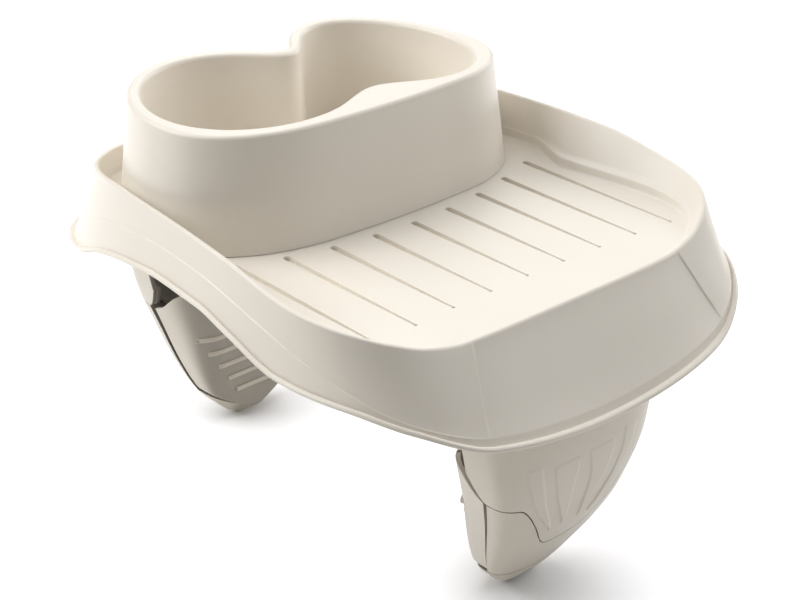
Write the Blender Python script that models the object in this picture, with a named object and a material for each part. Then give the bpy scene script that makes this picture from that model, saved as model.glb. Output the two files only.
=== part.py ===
"""Hot tub cup holder: a tray with a two-cup well on two sprung clamp legs.

Metres, +Z up. The tub wall runs along X between the legs. The open front edge of the
tray faces -Y and the cups stand towards +Y. The origin is on the ground, under the
middle of the object. Leg shapes are worked out in (x, out, z), where out is the
distance from the middle of the tub wall; the front leg faces -Y and the rear leg +Y.
"""

import math

import bmesh
import bpy
from mathutils import Matrix, Vector

# Shared
GAP = 0.0003              # clearance between pieces that touch
LAP_GAP = 0.00035         # clearance round the lap of a leg's shell in its cover
ROUND_STEPS = 16          # sides of a small round
FINE_STEPS = 10           # sides of a screw or a rib
COLLECTION = "hot_tub_cup_holder"

# Tray
FLOOR_Z = 0.1425          # top of the tray floor above the ground
TRAY_SKIN = 0.0025        # thickness of the tray moulding
TRAY_STATIONS = 92        # points round each ring of the tray
TAPER_LENGTH = 1.11       # the plan narrows towards the cups, to nothing this far off
WALL_HALF_WIDTH = 0.1033  # plan of the wall's top edge, across
WALL_FRONT = 0.118        # ... to the open front edge
WALL_BACK = 0.110         # ... and to the back
WALL_FRONT_POWER = 4.6    # squareness of its front corners
WALL_BACK_POWER = 4.0     # ... and of its back corners
EDGE_HALF_WIDTH = 0.1075  # plan of the skirt's lower edge, across
EDGE_REACH = 0.1455       # ... and lengthways
EDGE_POWER = 3.4          # squareness of its corners
BEAD_HEIGHT = 0.003       # half-round bead on the skirt's lower edge
BEAD_OUT = 0.0015
TOP_WIDTH = 0.002         # width of the wall's top
STEP_HEIGHT = 0.0042      # low step at the foot of the wall inside the tray
STEP_WIDTH = 0.0034
FOOT_INSET_PER_RISE = 0.62  # the wall's foot stands in by this share of its height
FOOT_INSET_LEAST = 0.0032   # ... and by at least this much, as beside the well
BESIDE_WELL = (76.0, 92.0)    # bearings between which the foot closes up to the well
CREASE_AT = 0.52          # fine raised line along the side skirts, as a share down
CREASE_PROUD = 0.0005
CREASE_BEARINGS = (30.0, 44.0, 136.0, 152.0)  # where the line fades in and out
# Height of the wall over the floor by bearing: 0 is the front, 90 a side, 180 the back
WALL_RISE = (
    (0, 0.0), (26, 0.0), (36, 0.0058), (46, 0.0102), (57, 0.0148), (72, 0.0198),
    (93, 0.0210), (114, 0.0205), (127, 0.0175), (143, 0.0125), (180, 0.0085),
)
# How far the skirt's lower edge hangs below the floor by bearing
EDGE_DROP = (
    (0, 0.0397), (24, 0.0339), (36, 0.0235), (45, 0.0167), (57, 0.0150), (68, 0.0085),
    (79, 0.0045), (92, 0.0045), (110, 0.0085), (122, 0.0145), (134, 0.0253),
    (147, 0.0313), (180, 0.0397),
)

# Drain grooves in the floor
GROOVES = 9
GROOVE_PITCH = 0.0206
GROOVE_START_Y = -0.0243  # beside the well, on the middle groove
GROOVE_START_BOW = 0.00096  # the starts follow the well's front by this per groove squared
GROOVE_END_Y = -0.0927
GROOVE_END_BOW = 0.00023
GROOVE_WIDE = 0.0016      # half width beside the well
GROOVE_FINE = 0.00045     # half width along the fine end
GROOVE_DOT = 0.0008       # radius of the dot that ends it
GROOVE_DEEP = 0.0017      # depth beside the well
GROOVE_SHALLOW = 0.0009   # depth at the dot

# Cup well
WELL_SKIN = 0.0022
WELL_STATIONS = 76
WELL_CENTRE = (0.005, 0.043)  # rings are measured from here
RIM_Z = FLOOR_Z + 0.0495
RIM_WIDTH = 0.0068
RIM_ROUND = 0.0022
CUP_Y = 0.0430
BIG_CUP_X = -0.0358
BIG_CUP_HALF = (0.0446, 0.0446)
SMALL_CUP_X = 0.0433
SMALL_CUP_HALF = (0.0332, 0.0444)
CUP_LEAN = 0.385          # each cup narrows towards the back, to nothing this far off
CUP_BLEND = 0.029         # opens the waist between the cups
WELL_BLEND = 0.014        # softens the dip at the back of the well
FRONT_BAR_X = -0.0013     # the bowed front of the well, closing off the dip there
FRONT_BAR_Y = 0.0300
FRONT_BAR_HALF = (0.0854, 0.0412)
FRONT_BAR_POWER = 2.6
WELL_DRAFT = 0.0060       # the outside spreads by this much down to its foot
CUP_DRAFT = 0.0016        # the inside closes by this much down to the cup floor
CUP_FILLET = 0.003
WELL_FOOT_OUT = 0.0010    # small foot round the well, seen as a line on the floor
WELL_FOOT_HEIGHT = 0.0012
WELL_POST_BEARINGS = (40.0, 140.0, 235.0, 308.0)  # degrees from +X about WELL_CENTRE
WELL_POST_RADIUS = 0.0055
WELL_POST_HEIGHT = 0.0130

# Legs
LEGS_Y = 0.0012           # the middle of the gap between them
LEG_DEPTH = 0.0434        # from the grip face to the furthest point outside
LEG_REACH = min(EDGE_REACH - 0.0147, WALL_BACK + 0.0208)  # clear of the tray's skirt
JAW_FACE_OUT = LEG_REACH - LEG_DEPTH
LEG_HALF_WIDTH = (        # by height above the ground
    (0.0, 0.0065), (0.0015, 0.0100), (0.004, 0.0140), (0.008, 0.0182), (0.015, 0.0244),
    (0.030, 0.0310), (0.050, 0.0370), (0.075, 0.0442), (0.105, 0.0498), (0.126, 0.0515),
)
LEG_FACE = (              # the outside's middle line, out from the grip face
    (0.0, 0.0088), (0.003, 0.0122), (0.008, 0.0160), (0.015, 0.0200), (0.030, 0.0294),
    (0.050, 0.0388), (0.075, 0.0434), (0.105, 0.0416), (0.126, 0.0350),
)
LEG_CORNER = (            # the line where the flat sides turn into the rounded outside
    (0.0, 0.0066), (0.016, 0.0141), (0.029, 0.0186), (0.042, 0.0226), (0.054, 0.0256),
    (0.066, 0.0281), (0.080, 0.0291), (0.102, 0.0291), (0.127, 0.0211),
)
LEG_SECTION_POWER = 3.3   # squareness of the rounded outside
LEG_SKIN = 0.0022
LEG_SPIGOT_SKIN = 0.0018  # the lap under the cover's edge
PLATE_Z = FLOOR_Z - 0.0165    # top of the mounting plate of a leg
LEG_TOP_Z = PLATE_Z - 0.0004
SHELL_EDGE_OUT = JAW_FACE_OUT + 0.0190  # where the shell's side walls end
SEAM_SIDE_Z = 0.0612      # seam between shell and cover beside the shell's tongue
SEAM_CORNER_Z = 0.0622    # ... at the corner of the leg
SEAM_EDGE_RISE = 0.0120   # ... and its rise from there to the end of the side wall
TONGUE_TIP_Z = 0.0302     # ... and at the tip of the tongue
TONGUE_SHARE = 0.83       # half width of the tongue, as a share of the leg's
TONGUE_POWER = 1.95       # how square its tip is
TONGUE_SIDE_GAP = 0.0100  # the share lost on each side to clearance
SPIGOT_LAP = 0.0030
JOGGLE = (0.0015, 0.0045)     # heights over the seam where the lap's wall thins again
FOOT_SEAM_Z = 0.0100      # seam between cover and foot tip, in the middle
FOOT_SEAM_RISE = 0.0060   # ... and how much it rises to the sides

# Petals raised on each tongue, two each side: (height, inner edge, outer edge)
PETALS = (
    ((0.0435, 0.0050, 0.0070), (0.0780, 0.0033, 0.0180)),
    ((0.0430, 0.0098, 0.0108), (0.0490, 0.0122, 0.0190), (0.0810, 0.0250, 0.0320)),
)
PETAL_PROUD = 0.0006
PETAL_ROWS = 7

# Foot tips
FOOT_FACE_OUT = JAW_FACE_OUT + 0.0003  # the face towards the tub wall
FOOT_TUCK = 0.0050        # ... which stands back by this at the ground
FOOT_TUCK_HEIGHT = 0.013
FOOT_PLUG_OUT = (0.0098, 0.0126)  # plugs beside the cover's lugs, out from the grip face
FOOT_PLUG_THICK = 0.0034
FOOT_PLUG_Z = (0.0070, 0.0195)

# Grip jaws
JAW_SKIN = 0.0022
JAW_POWER = 4.5
JAW_ROWS = 7
JAW_FLAT = 1.03           # more than 1 flattens the middle of the grip face
JAW_GAP_LOW = 0.0007      # slot between jaw and cover, at the foot
JAW_GAP_SLOPE = 0.044     # ... and how it opens with height
JAW_GAP_FROM = 0.016
JAW_SIDE_IN = 0.0007      # the jaw's back edge stands in from the leg's side
JAW_NARROW = 0.09         # the face is narrower than the back by this share
JAW_NARROW_BETWEEN = (0.012, 0.055)
JAW_FOOT_Z = 0.0035
JAW_FOOT_RISE = 0.0133
JAW_TOP_BACK_Z = 0.0615
JAW_TOP_RISE = 0.0122     # the top edge climbs to the face's corners
JAW_TOP_DIP = 0.0040      # ... and dips across the face
JAW_FOOT_CLEARANCE = 0.0006
RIBS = 5
RIB_PITCH = 0.0079
RIB_LOW_Z = 0.0172
RIB_LOW_HALF = 0.0118     # half length of the lowest rib
RIB_GROWTH = 0.0048       # each rib above is longer by this, each side
RIB_RADIUS = 0.0013
RIB_PROUD = 0.0009
RIB_SIDES = 8
RIB_RINGS = (             # place along a rib, share of its radius
    (-1.0, 0.4), (-0.94, 1.0), (-0.75, 1.0), (0.75, 1.0), (0.94, 1.0), (1.0, 0.4),
)

# Hinge and spring of each jaw
PIN_DEPTH = 0.0084        # the pin's middle, behind the grip face
PIN_OUT = JAW_FACE_OUT + PIN_DEPTH
PIN_Z = 0.0200
PIN_RADIUS = 0.0015
PIN_HALF_LENGTH = 0.0136
KNUCKLE_RADIUS = 0.0042
KNUCKLE_HALF = 0.0094
LUG_FROM = 0.0100
LUG_TO = 0.0130
SPRING_Z = 0.0460
SPRING_RADIUS = 0.0036
SPRING_WIRE = 0.00045
SPRING_TURNS = 6
SPRING_STEPS = 9          # points in each turn
SPRING_ROOT = 0.0012      # how far a spring's peg is rooted in its wall
SPRING_PAD_RADIUS = 0.0045    # flat seat inside the shell
SPRING_PAD = 0.0020
SPRING_PEG_RADIUS = 0.0026
SPRING_PEG_LENGTH = 0.0030

# Fasteners
SCREW_RADIUS = 0.0015
SCREW_HEAD_RADIUS = 0.0032
SCREW_HEAD = 0.0020
SCREW_LENGTH = 0.0110
COUNTERSUNK_HEAD = 0.0017     # depth of the well screws' heads
COUNTERSUNK_BELOW = 0.0002    # ... which lie this far inside the tray's underside
LEG_SCREW_X = 0.0260
LEG_SCREW_OUT = JAW_FACE_OUT + 0.0126
LEG_BOSS_RADIUS = 0.0045
PLATE_SKIN = 0.0026
PLATE_HALF_WIDTH = 0.0340     # along its free edge
PLATE_SHARE = 0.86            # how far round the leg's outside it is joined
PLATE_EDGE_OUT = JAW_FACE_OUT + 0.0080

BACK_TURN = Matrix.Translation((0.0, LEGS_Y, 0.0))
FRONT_TURN = BACK_TURN @ Matrix.Rotation(math.pi, 4, "Z")


def clear_scene():
    for item in list(bpy.data.objects):
        bpy.data.objects.remove(item, do_unlink=True)


def collection(name, hidden=False):
    found = bpy.data.collections.get(name)
    if found is None:
        found = bpy.data.collections.new(name)
        bpy.context.scene.collection.children.link(found)
    found.hide_render = hidden
    return found


def material(name, colour, roughness, metallic=0.0):
    made = bpy.data.materials.new(name)
    made.use_nodes = True
    shader = made.node_tree.nodes["Principled BSDF"]
    shader.inputs["Base Color"].default_value = (*colour, 1.0)
    shader.inputs["Roughness"].default_value = roughness
    shader.inputs["Metallic"].default_value = metallic
    return made


def plastic(name):
    return material(name, (0.72, 0.67, 0.58), 0.38)


def steel(name):
    return material(name, (0.55, 0.55, 0.56), 0.3, metallic=1.0)


def solid(name, mesh, paint=None, turn=Matrix.Identity(4)):
    """A mesh made into an object; without paint it is a tool for a Boolean."""
    bmesh.ops.transform(mesh, matrix=turn, verts=mesh.verts)
    bmesh.ops.recalc_face_normals(mesh, faces=mesh.faces)
    data = bpy.data.meshes.new(name)
    mesh.to_mesh(data)
    mesh.free()
    made = bpy.data.objects.new(name, data)
    if paint is None:
        collection("tools", hidden=True).objects.link(made)
        made.hide_render = True
        made.display_type = "WIRE"
    else:
        collection(COLLECTION).objects.link(made)
        data.materials.append(paint)
    return made


def combine(target, tool, operation):
    """A live Boolean of target with tool."""
    step = target.modifiers.new(tool.name, "BOOLEAN")
    step.object = tool
    step.operation = operation
    step.solver = "EXACT"


def pivoted(made, place):
    """Moves an object's origin to place, leaving its mesh where it is."""
    made.data.transform(Matrix.Translation(-place))
    made.location = place


def smooth(low, high, at):
    share = min(max((at - low) / (high - low), 0.0), 1.0)
    return share * share * (3.0 - 2.0 * share)


def station_slope(stations, index):
    """Slope at a station that keeps the curve between its neighbours' values."""
    if index in (0, len(stations) - 1):
        return 0.0
    (a, low), (b, middle), (c, high) = stations[index - 1:index + 2]
    before = (middle - low) / (b - a)
    after = (high - middle) / (c - b)
    if before * after <= 0.0:
        return 0.0
    return 2.0 * before * after / (before + after)


def along(stations, at):
    """Smooth value between (place, value) stations."""
    at = min(max(at, stations[0][0]), stations[-1][0])
    for index in range(len(stations) - 1):
        (a, low), (b, high) = stations[index], stations[index + 1]
        if at <= b:
            break
    span = b - a
    t = (at - a) / span
    first = station_slope(stations, index) * span
    last = station_slope(stations, index + 1) * span
    return (
        low * (2 * t**3 - 3 * t**2 + 1) + first * (t**3 - 2 * t**2 + t)
        + high * (3 * t**2 - 2 * t**3) + last * (t**3 - t**2)
    )


def bisect(inside, low, high):
    """Where inside() turns false, between low and high."""
    for _ in range(40):
        middle = (low + high) / 2.0
        if inside(middle):
            low = middle
        else:
            high = middle
    return low


def add_loft(mesh, rings):
    """Joins closed rings of points in order and caps both ends."""
    rows = [[mesh.verts.new(point) for point in ring] for ring in rings]
    count = len(rows[0])
    for row, following in zip(rows, rows[1:]):
        for i in range(count):
            j = (i + 1) % count
            mesh.faces.new((row[i], following[i], following[j], row[j]))
    mesh.faces.new(rows[0])
    mesh.faces.new(reversed(rows[-1]))


def add_sheet(mesh, outside, inside):
    """A thin body between two grids of points, closed round its four edges."""
    outer = [[mesh.verts.new(point) for point in row] for row in outside]
    inner = [[mesh.verts.new(point) for point in row] for row in inside]
    last_row = len(outer) - 1
    last = len(outer[0]) - 1
    for grid in (outer, inner):
        for row, following in zip(grid, grid[1:]):
            for i in range(last):
                mesh.faces.new((row[i], following[i], following[i + 1], row[i + 1]))
    for row in (0, last_row):
        for i in range(last):
            mesh.faces.new((outer[row][i], outer[row][i + 1], inner[row][i + 1], inner[row][i]))
    for i in (0, last):
        for row in range(last_row):
            mesh.faces.new((outer[row][i], outer[row + 1][i], inner[row + 1][i], inner[row][i]))


def circle(radius, place, across, up, sides):
    """Points of a circle about place, in the plane of two directions."""
    turns = [2 * math.pi * i / sides for i in range(sides)]
    return [place + across * radius * math.cos(a) + up * radius * math.sin(a) for a in turns]


def add_rod(mesh, start, end, radii, sides=ROUND_STEPS):
    """A turned body along start to end, with (share along, radius) for each ring."""
    axis = (end - start).normalized()
    across = axis.orthogonal().normalized()
    up = axis.cross(across)
    add_loft(mesh, [circle(r, start.lerp(end, t), across, up, sides) for t, r in radii])


def rod(name, start, end, radius, turn):
    mesh = bmesh.new()
    add_rod(mesh, start, end, ((0, radius), (1, radius)))
    return solid(name, mesh, turn=turn)


def add_box(mesh, low, high):
    corners = [(low[0], low[1]), (high[0], low[1]), (high[0], high[1]), (low[0], high[1])]
    add_loft(mesh, [[Vector((x, y, z)) for x, y in corners] for z in (low[2], high[2])])


# Tray


def tray_plan(bearing, half_width, front, back, front_power, back_power):
    """Point of a rounded plan in the direction of a bearing."""
    across, forward = math.sin(bearing), -math.cos(bearing)
    reach, power = (front, front_power) if forward < 0 else (back, back_power)

    def inside(distance):
        y = distance * forward
        width = half_width * (1.0 - y / TAPER_LENGTH)
        share = (abs(distance * across) / width) ** power + (abs(y) / reach) ** power
        return share < 1.0

    distance = bisect(inside, 0.01, 0.25)
    return Vector((distance * across, distance * forward))


def outward_normals(points):
    """Outward directions of a closed plan that runs anticlockwise."""
    made = []
    for i, _ in enumerate(points):
        side = points[(i + 1) % len(points)] - points[i - 1]
        made.append(Vector((side.y, -side.x)).normalized())
    return made


def tray_station(wall, out, edge, edge_out, bearing):
    """The tray's section at one bearing, as points from the floor's top to its underside."""
    degrees = math.degrees(bearing)
    degrees = min(degrees, 360.0 - degrees)
    rise = along(WALL_RISE, degrees)
    top = FLOOR_Z + rise
    edge_z = FLOOR_Z - along(EDGE_DROP, degrees)
    full_inset = TRAY_SKIN + FOOT_INSET_PER_RISE * rise
    inset = full_inset + (FOOT_INSET_LEAST - full_inset) * smooth(*BESIDE_WELL, degrees)
    inset = max(inset, TOP_WIDTH * 1.25)
    spare = inset - TOP_WIDTH
    step = min(STEP_HEIGHT, 0.3 * rise)
    ledge = inset - min(STEP_WIDTH, 0.34 * spare)
    ledge_z = FLOOR_Z + step * 1.15
    edge_round = 0.0008 * smooth(0.0, 0.005, rise)
    flare = (edge - wall).length / (top - edge_z)
    lean = spare / max(rise, 0.0001)
    fold = max((2 * TRAY_SKIN + 0.0006 - TOP_WIDTH) / (flare + lean), TRAY_SKIN)
    low, high = CREASE_BEARINGS[:2], CREASE_BEARINGS[2:]
    proud = CREASE_PROUD * smooth(*low, degrees) * (1.0 - smooth(*high, degrees))

    def inwards(amount, z):
        return Vector((*(wall - out * amount), z))

    def from_edge(amount, up):
        return Vector((*(edge + edge_out * amount), edge_z + up))

    def on_skirt(share, amount):
        place = wall.lerp(edge, share) + out * amount
        return Vector((*place, top + (edge_z - top) * share))

    bead = []
    for i in range(5):
        angle = math.pi * (0.5 - i / 4)
        rounding = BEAD_HEIGHT / 2
        bead.append(from_edge(BEAD_OUT * math.cos(angle), rounding + rounding * math.sin(angle)))
    return [
        inwards(inset, FLOOR_Z),
        inwards(inset - min(0.0008, 0.1 * spare), FLOOR_Z + step),
        inwards(ledge, ledge_z),
        inwards(TOP_WIDTH, top - edge_round * 0.6),
        inwards(TOP_WIDTH * 0.72, top),
        inwards(TOP_WIDTH * 0.34, top),
        inwards(0.0, top - edge_round - 0.0003),
        on_skirt(CREASE_AT, 0.0),
        on_skirt(CREASE_AT + 0.015, proud),
        on_skirt(0.93, proud * 0.5 - 0.0004),
        *bead,
        from_edge(-TRAY_SKIN, 0.0),
        on_skirt(fold / (top - edge_z), -TRAY_SKIN),
        inwards(ledge - TRAY_SKIN, ledge_z - TRAY_SKIN),
        inwards(inset - TRAY_SKIN, FLOOR_Z - TRAY_SKIN),
    ]


def tray_body():
    bearings = [2 * math.pi * i / TRAY_STATIONS for i in range(TRAY_STATIONS)]
    wall = [
        tray_plan(b, WALL_HALF_WIDTH, WALL_FRONT, WALL_BACK, WALL_FRONT_POWER, WALL_BACK_POWER)
        for b in bearings
    ]
    edge = [
        tray_plan(b, EDGE_HALF_WIDTH, EDGE_REACH, EDGE_REACH, EDGE_POWER, EDGE_POWER)
        for b in bearings
    ]
    sections = [
        tray_station(*station)
        for station in zip(wall, outward_normals(wall), edge, outward_normals(edge), bearings)
    ]
    mesh = bmesh.new()
    add_loft(mesh, list(zip(*sections)))
    return solid("tray", mesh, plastic("tray_plastic"))


def groove_outline(start, end):
    """Half widths along a groove: round and wide at its start, fine, then a dot."""
    points = []
    for i in range(5):
        angle = math.pi / 2 * i / 4
        points.append((start + GROOVE_WIDE * (1 - math.cos(angle)), GROOVE_WIDE * math.sin(angle)))
    points[0] = (start, 0.0)
    points.append((end - 4 * GROOVE_DOT, GROOVE_FINE))
    for i in range(5):
        angle = math.pi * (0.2 + 0.8 * i / 4)
        points.append((end - GROOVE_DOT * (1 + math.cos(angle)), GROOVE_DOT * math.sin(angle)))
    return points


def grooves():
    mesh = bmesh.new()
    for i in range(GROOVES):
        place = i - (GROOVES - 1) / 2
        start = -(GROOVE_START_Y + GROOVE_START_BOW * place**2)
        end = -(GROOVE_END_Y - GROOVE_END_BOW * place**2)
        half = groove_outline(start, end)
        line = half + [(y, -width) for y, width in reversed(half[1:-1])]
        middle = place * GROOVE_PITCH

        def floor_of(y):
            share = min(max((y - start) / (end - start), 0.0), 1.0)
            return FLOOR_Z - GROOVE_DEEP + (GROOVE_DEEP - GROOVE_SHALLOW) * share

        low = [Vector((middle + x, -y, floor_of(y))) for y, x in line]
        high = [Vector((middle + x, -y, FLOOR_Z + 0.002)) for y, x in line]
        add_loft(mesh, [low, high])
    return solid("groove_tool", mesh)


def leg_screw_places():
    return [
        turn @ Vector((x, LEG_SCREW_OUT, 0.0))
        for turn in (FRONT_TURN, BACK_TURN) for x in (-LEG_SCREW_X, LEG_SCREW_X)
    ]


def upright_rods(name, places, low, high, radius):
    """Upright rods at places, as one tool."""
    mesh = bmesh.new()
    for place in places:
        foot = place + Vector((0, 0, low))
        add_rod(mesh, foot, place + Vector((0, 0, high)), ((0, radius), (1, radius)))
    return solid(name, mesh)


def build_tray():
    tray = tray_body()
    underside = FLOOR_Z - TRAY_SKIN
    places = leg_screw_places()
    boss_foot = PLATE_Z + GAP
    bosses = upright_rods("leg_boss_tool", places, boss_foot, underside + 0.001, LEG_BOSS_RADIUS)
    pilots = upright_rods(
        "leg_pilot_tool", places, boss_foot - 0.001, underside - 0.0008, SCREW_RADIUS + GAP
    )
    holes = bmesh.new()
    section = countersunk(GAP, SCREW_RADIUS + GAP, 0.001)
    for place in well_post_places():
        add_countersunk(holes, place, section)
    combine(tray, bosses, "UNION")
    combine(tray, pilots, "DIFFERENCE")
    combine(tray, solid("well_hole_tool", holes), "DIFFERENCE")
    combine(tray, grooves(), "DIFFERENCE")
    return tray


# Cup well


def oval_distance(x, y, half, power):
    """Distance outside an oval, close to true near its edge."""
    across, up = abs(x) / half[0], abs(y) / half[1]
    size = (across**power + up**power) ** (1.0 / power)
    if size < 1e-6:
        return -min(half)
    slope_x = (across / size) ** (power - 1.0) / half[0]
    slope_y = (up / size) ** (power - 1.0) / half[1]
    return (size - 1.0) / math.hypot(slope_x, slope_y)


def blended(one, other, blend):
    """Distance outside two shapes run together over a blend."""
    share = max(blend - abs(one - other), 0.0) / blend
    return min(one, other) - share * share * blend / 4.0


def cups_distance(x, y, blend):
    y -= CUP_Y
    narrow = 1.0 - y / CUP_LEAN
    big = oval_distance((x - BIG_CUP_X) / narrow, y, BIG_CUP_HALF, 2.0)
    small = oval_distance((x - SMALL_CUP_X) / narrow, y, SMALL_CUP_HALF, 2.0)
    return blended(big, small, blend)


def well_distance(x, y):
    cups = cups_distance(x, y, WELL_BLEND) - RIM_WIDTH
    bar = oval_distance(x - FRONT_BAR_X, y - FRONT_BAR_Y, FRONT_BAR_HALF, FRONT_BAR_POWER)
    return blended(cups, bar, 0.004)


def well_reach(bearing, distance, grown):
    """How far from WELL_CENTRE the outline, grown by an amount, lies at a bearing."""
    across, up = math.cos(bearing), math.sin(bearing)

    def inside(reach):
        return distance(WELL_CENTRE[0] + reach * across, WELL_CENTRE[1] + reach * up) < grown

    return bisect(inside, 0.012, 0.14)


def well_ring(distance, grown, z):
    ring = []
    for i in range(WELL_STATIONS):
        bearing = 2 * math.pi * i / WELL_STATIONS
        reach = well_reach(bearing, distance, grown)
        x = WELL_CENTRE[0] + reach * math.cos(bearing)
        ring.append(Vector((x, WELL_CENTRE[1] + reach * math.sin(bearing), z)))
    return ring


def cups_inside(x, y):
    return cups_distance(x, y, CUP_BLEND)


def well_post_places():
    """Middles of the hollow between the well's two walls, at the posts' bearings."""
    made = []
    for degrees in WELL_POST_BEARINGS:
        bearing = math.radians(degrees)
        outer = well_reach(bearing, well_distance, WELL_DRAFT - WELL_SKIN)
        inner = well_reach(bearing, cups_inside, WELL_SKIN - CUP_DRAFT)
        reach = (outer + inner) / 2
        x = WELL_CENTRE[0] + reach * math.cos(bearing)
        made.append(Vector((x, WELL_CENTRE[1] + reach * math.sin(bearing), 0.0)))
    return made


def build_well():
    foot = FLOOR_Z + GAP
    cup_floor = foot + GAP + WELL_SKIN
    shoulder = RIM_Z - RIM_ROUND
    hollow_top = RIM_Z - WELL_SKIN - 0.0008
    spread = WELL_DRAFT + WELL_FOOT_OUT
    rings = [
        well_ring(cups_inside, -CUP_DRAFT - CUP_FILLET, cup_floor),
        well_ring(cups_inside, -CUP_DRAFT - CUP_FILLET * 0.3, cup_floor + CUP_FILLET * 0.3),
        well_ring(cups_inside, -CUP_DRAFT, cup_floor + CUP_FILLET),
        well_ring(cups_inside, 0.0, shoulder),
        well_ring(cups_inside, RIM_ROUND * 0.3, RIM_Z - RIM_ROUND * 0.3),
        well_ring(cups_inside, RIM_ROUND, RIM_Z),
        well_ring(well_distance, -RIM_ROUND, RIM_Z),
        well_ring(well_distance, -RIM_ROUND * 0.3, RIM_Z - RIM_ROUND * 0.3),
        well_ring(well_distance, 0.0, shoulder),
        well_ring(well_distance, WELL_DRAFT, foot + WELL_FOOT_HEIGHT),
        well_ring(well_distance, spread, foot + WELL_FOOT_HEIGHT * 0.8),
        well_ring(well_distance, spread, foot),
        well_ring(well_distance, WELL_DRAFT - WELL_SKIN, foot),
        well_ring(well_distance, -WELL_SKIN, hollow_top),
        well_ring(cups_inside, WELL_SKIN, hollow_top),
        well_ring(cups_inside, WELL_SKIN - CUP_DRAFT, foot + GAP),
    ]
    mesh = bmesh.new()
    add_loft(mesh, rings)
    well = solid("cup_well", mesh, plastic("well_plastic"))
    places = well_post_places()
    combine(
        well,
        upright_rods("well_post_tool", places, foot, foot + WELL_POST_HEIGHT, WELL_POST_RADIUS),
        "UNION",
    )
    deep = foot + WELL_POST_HEIGHT - 0.002
    combine(
        well,
        upright_rods("well_pilot_tool", places, foot - 0.001, deep, SCREW_RADIUS + GAP),
        "DIFFERENCE",
    )
    return well


# Screws


def add_screw(mesh, place, seat):
    """A pan-head self-tapping screw pointing up, its head under the seat height."""
    start = place + Vector((0, 0, seat - SCREW_HEAD))
    end = place + Vector((0, 0, seat + SCREW_LENGTH))
    head = SCREW_HEAD / (SCREW_HEAD + SCREW_LENGTH)
    add_rod(mesh, start, end, (
        (0, SCREW_HEAD_RADIUS * 0.7), (head * 0.5, SCREW_HEAD_RADIUS),
        (head, SCREW_HEAD_RADIUS), (head, SCREW_RADIUS),
        (0.86, SCREW_RADIUS), (1, SCREW_RADIUS * 0.4),
    ), FINE_STEPS)


def countersunk(grown, tip, below):
    """Section of a countersunk screw, or with grown of the hole that takes it."""
    length = SCREW_HEAD + SCREW_LENGTH
    return (
        (-below / length, SCREW_HEAD_RADIUS + grown), (0, SCREW_HEAD_RADIUS + grown),
        (COUNTERSUNK_HEAD / length, SCREW_RADIUS + grown),
        (0.86, SCREW_RADIUS + grown), (1, tip),
    )


def add_countersunk(mesh, place, section):
    low = FLOOR_Z - TRAY_SKIN + COUNTERSUNK_BELOW
    high = low + SCREW_HEAD + SCREW_LENGTH
    add_rod(mesh, place + Vector((0, 0, low)), place + Vector((0, 0, high)), section, FINE_STEPS)


def build_leg_screws():
    for i, place in enumerate(leg_screw_places()):
        mesh = bmesh.new()
        add_screw(mesh, place, PLATE_Z - PLATE_SKIN - GAP)
        solid(f"leg_screw_{i + 1}", mesh, steel(f"leg_screw_{i + 1}_steel"))


def build_well_screws():
    section = countersunk(0.0, SCREW_RADIUS * 0.4, 0.0)[1:]
    for i, place in enumerate(well_post_places()):
        mesh = bmesh.new()
        add_countersunk(mesh, place, section)
        solid(f"well_screw_{i + 1}", mesh, steel(f"well_screw_{i + 1}_steel"))


# Legs


def leg_half_width(z):
    return along(LEG_HALF_WIDTH, z)


def leg_out(z):
    return JAW_FACE_OUT + along(LEG_FACE, z)


def leg_corner(z):
    return JAW_FACE_OUT + along(LEG_CORNER, z)


def jaw_back(z):
    """Where the jaw's side walls end, a slot's width from the cover."""
    return leg_corner(z) - JAW_GAP_LOW - JAW_GAP_SLOPE * max(z - JAW_GAP_FROM, 0.0)


def leg_point(share, z, inset):
    """Point of the leg's outside at a share across, inset by a skin.

    Shares up to 1 run over the rounded outside, and from 1 to 2 down the flat side.
    """
    side = max(abs(share) - 1.0, 0.0)
    across = max(min(share, 1.0), -1.0)
    corner = leg_corner(z)
    bulge = max(1.0 - abs(across) ** LEG_SECTION_POWER, 0.0) ** (1.0 / LEG_SECTION_POWER)
    out = corner + (leg_out(z) - inset - corner) * bulge - (corner - SHELL_EDGE_OUT) * side
    return Vector(((leg_half_width(z) - inset) * across, out, z))


def leg_shares(tongue):
    """Shares across the outside: even over the tongue, then closer round the corners."""
    inner = [tongue * i / 8 for i in range(9)]
    turn = math.asin(tongue ** (LEG_SECTION_POWER / 2))
    rest = [turn + (math.pi / 2 - turn) * i / 4 for i in range(1, 5)]
    outer = [math.sin(a) ** (2.0 / LEG_SECTION_POWER) for a in rest]
    half = inner + outer
    return [-share for share in reversed(half[1:])] + half


def tongue_seam(share, tongue):
    """Height of the seam between shell and cover at a share across."""
    across = min(abs(share) / tongue, 1.0)
    flank = smooth(0.0, 1.0, across**TONGUE_POWER)
    beside = min(max((abs(share) - tongue) / (1.0 - tongue), 0.0), 1.0)
    side = max(abs(share) - 1.0, 0.0)
    return (
        TONGUE_TIP_Z + (SEAM_SIDE_Z - TONGUE_TIP_Z) * flank
        + (SEAM_CORNER_Z - SEAM_SIDE_Z) * beside + SEAM_EDGE_RISE * side**1.7
    )


def foot_seam(share):
    return FOOT_SEAM_Z + FOOT_SEAM_RISE * share * share


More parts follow.
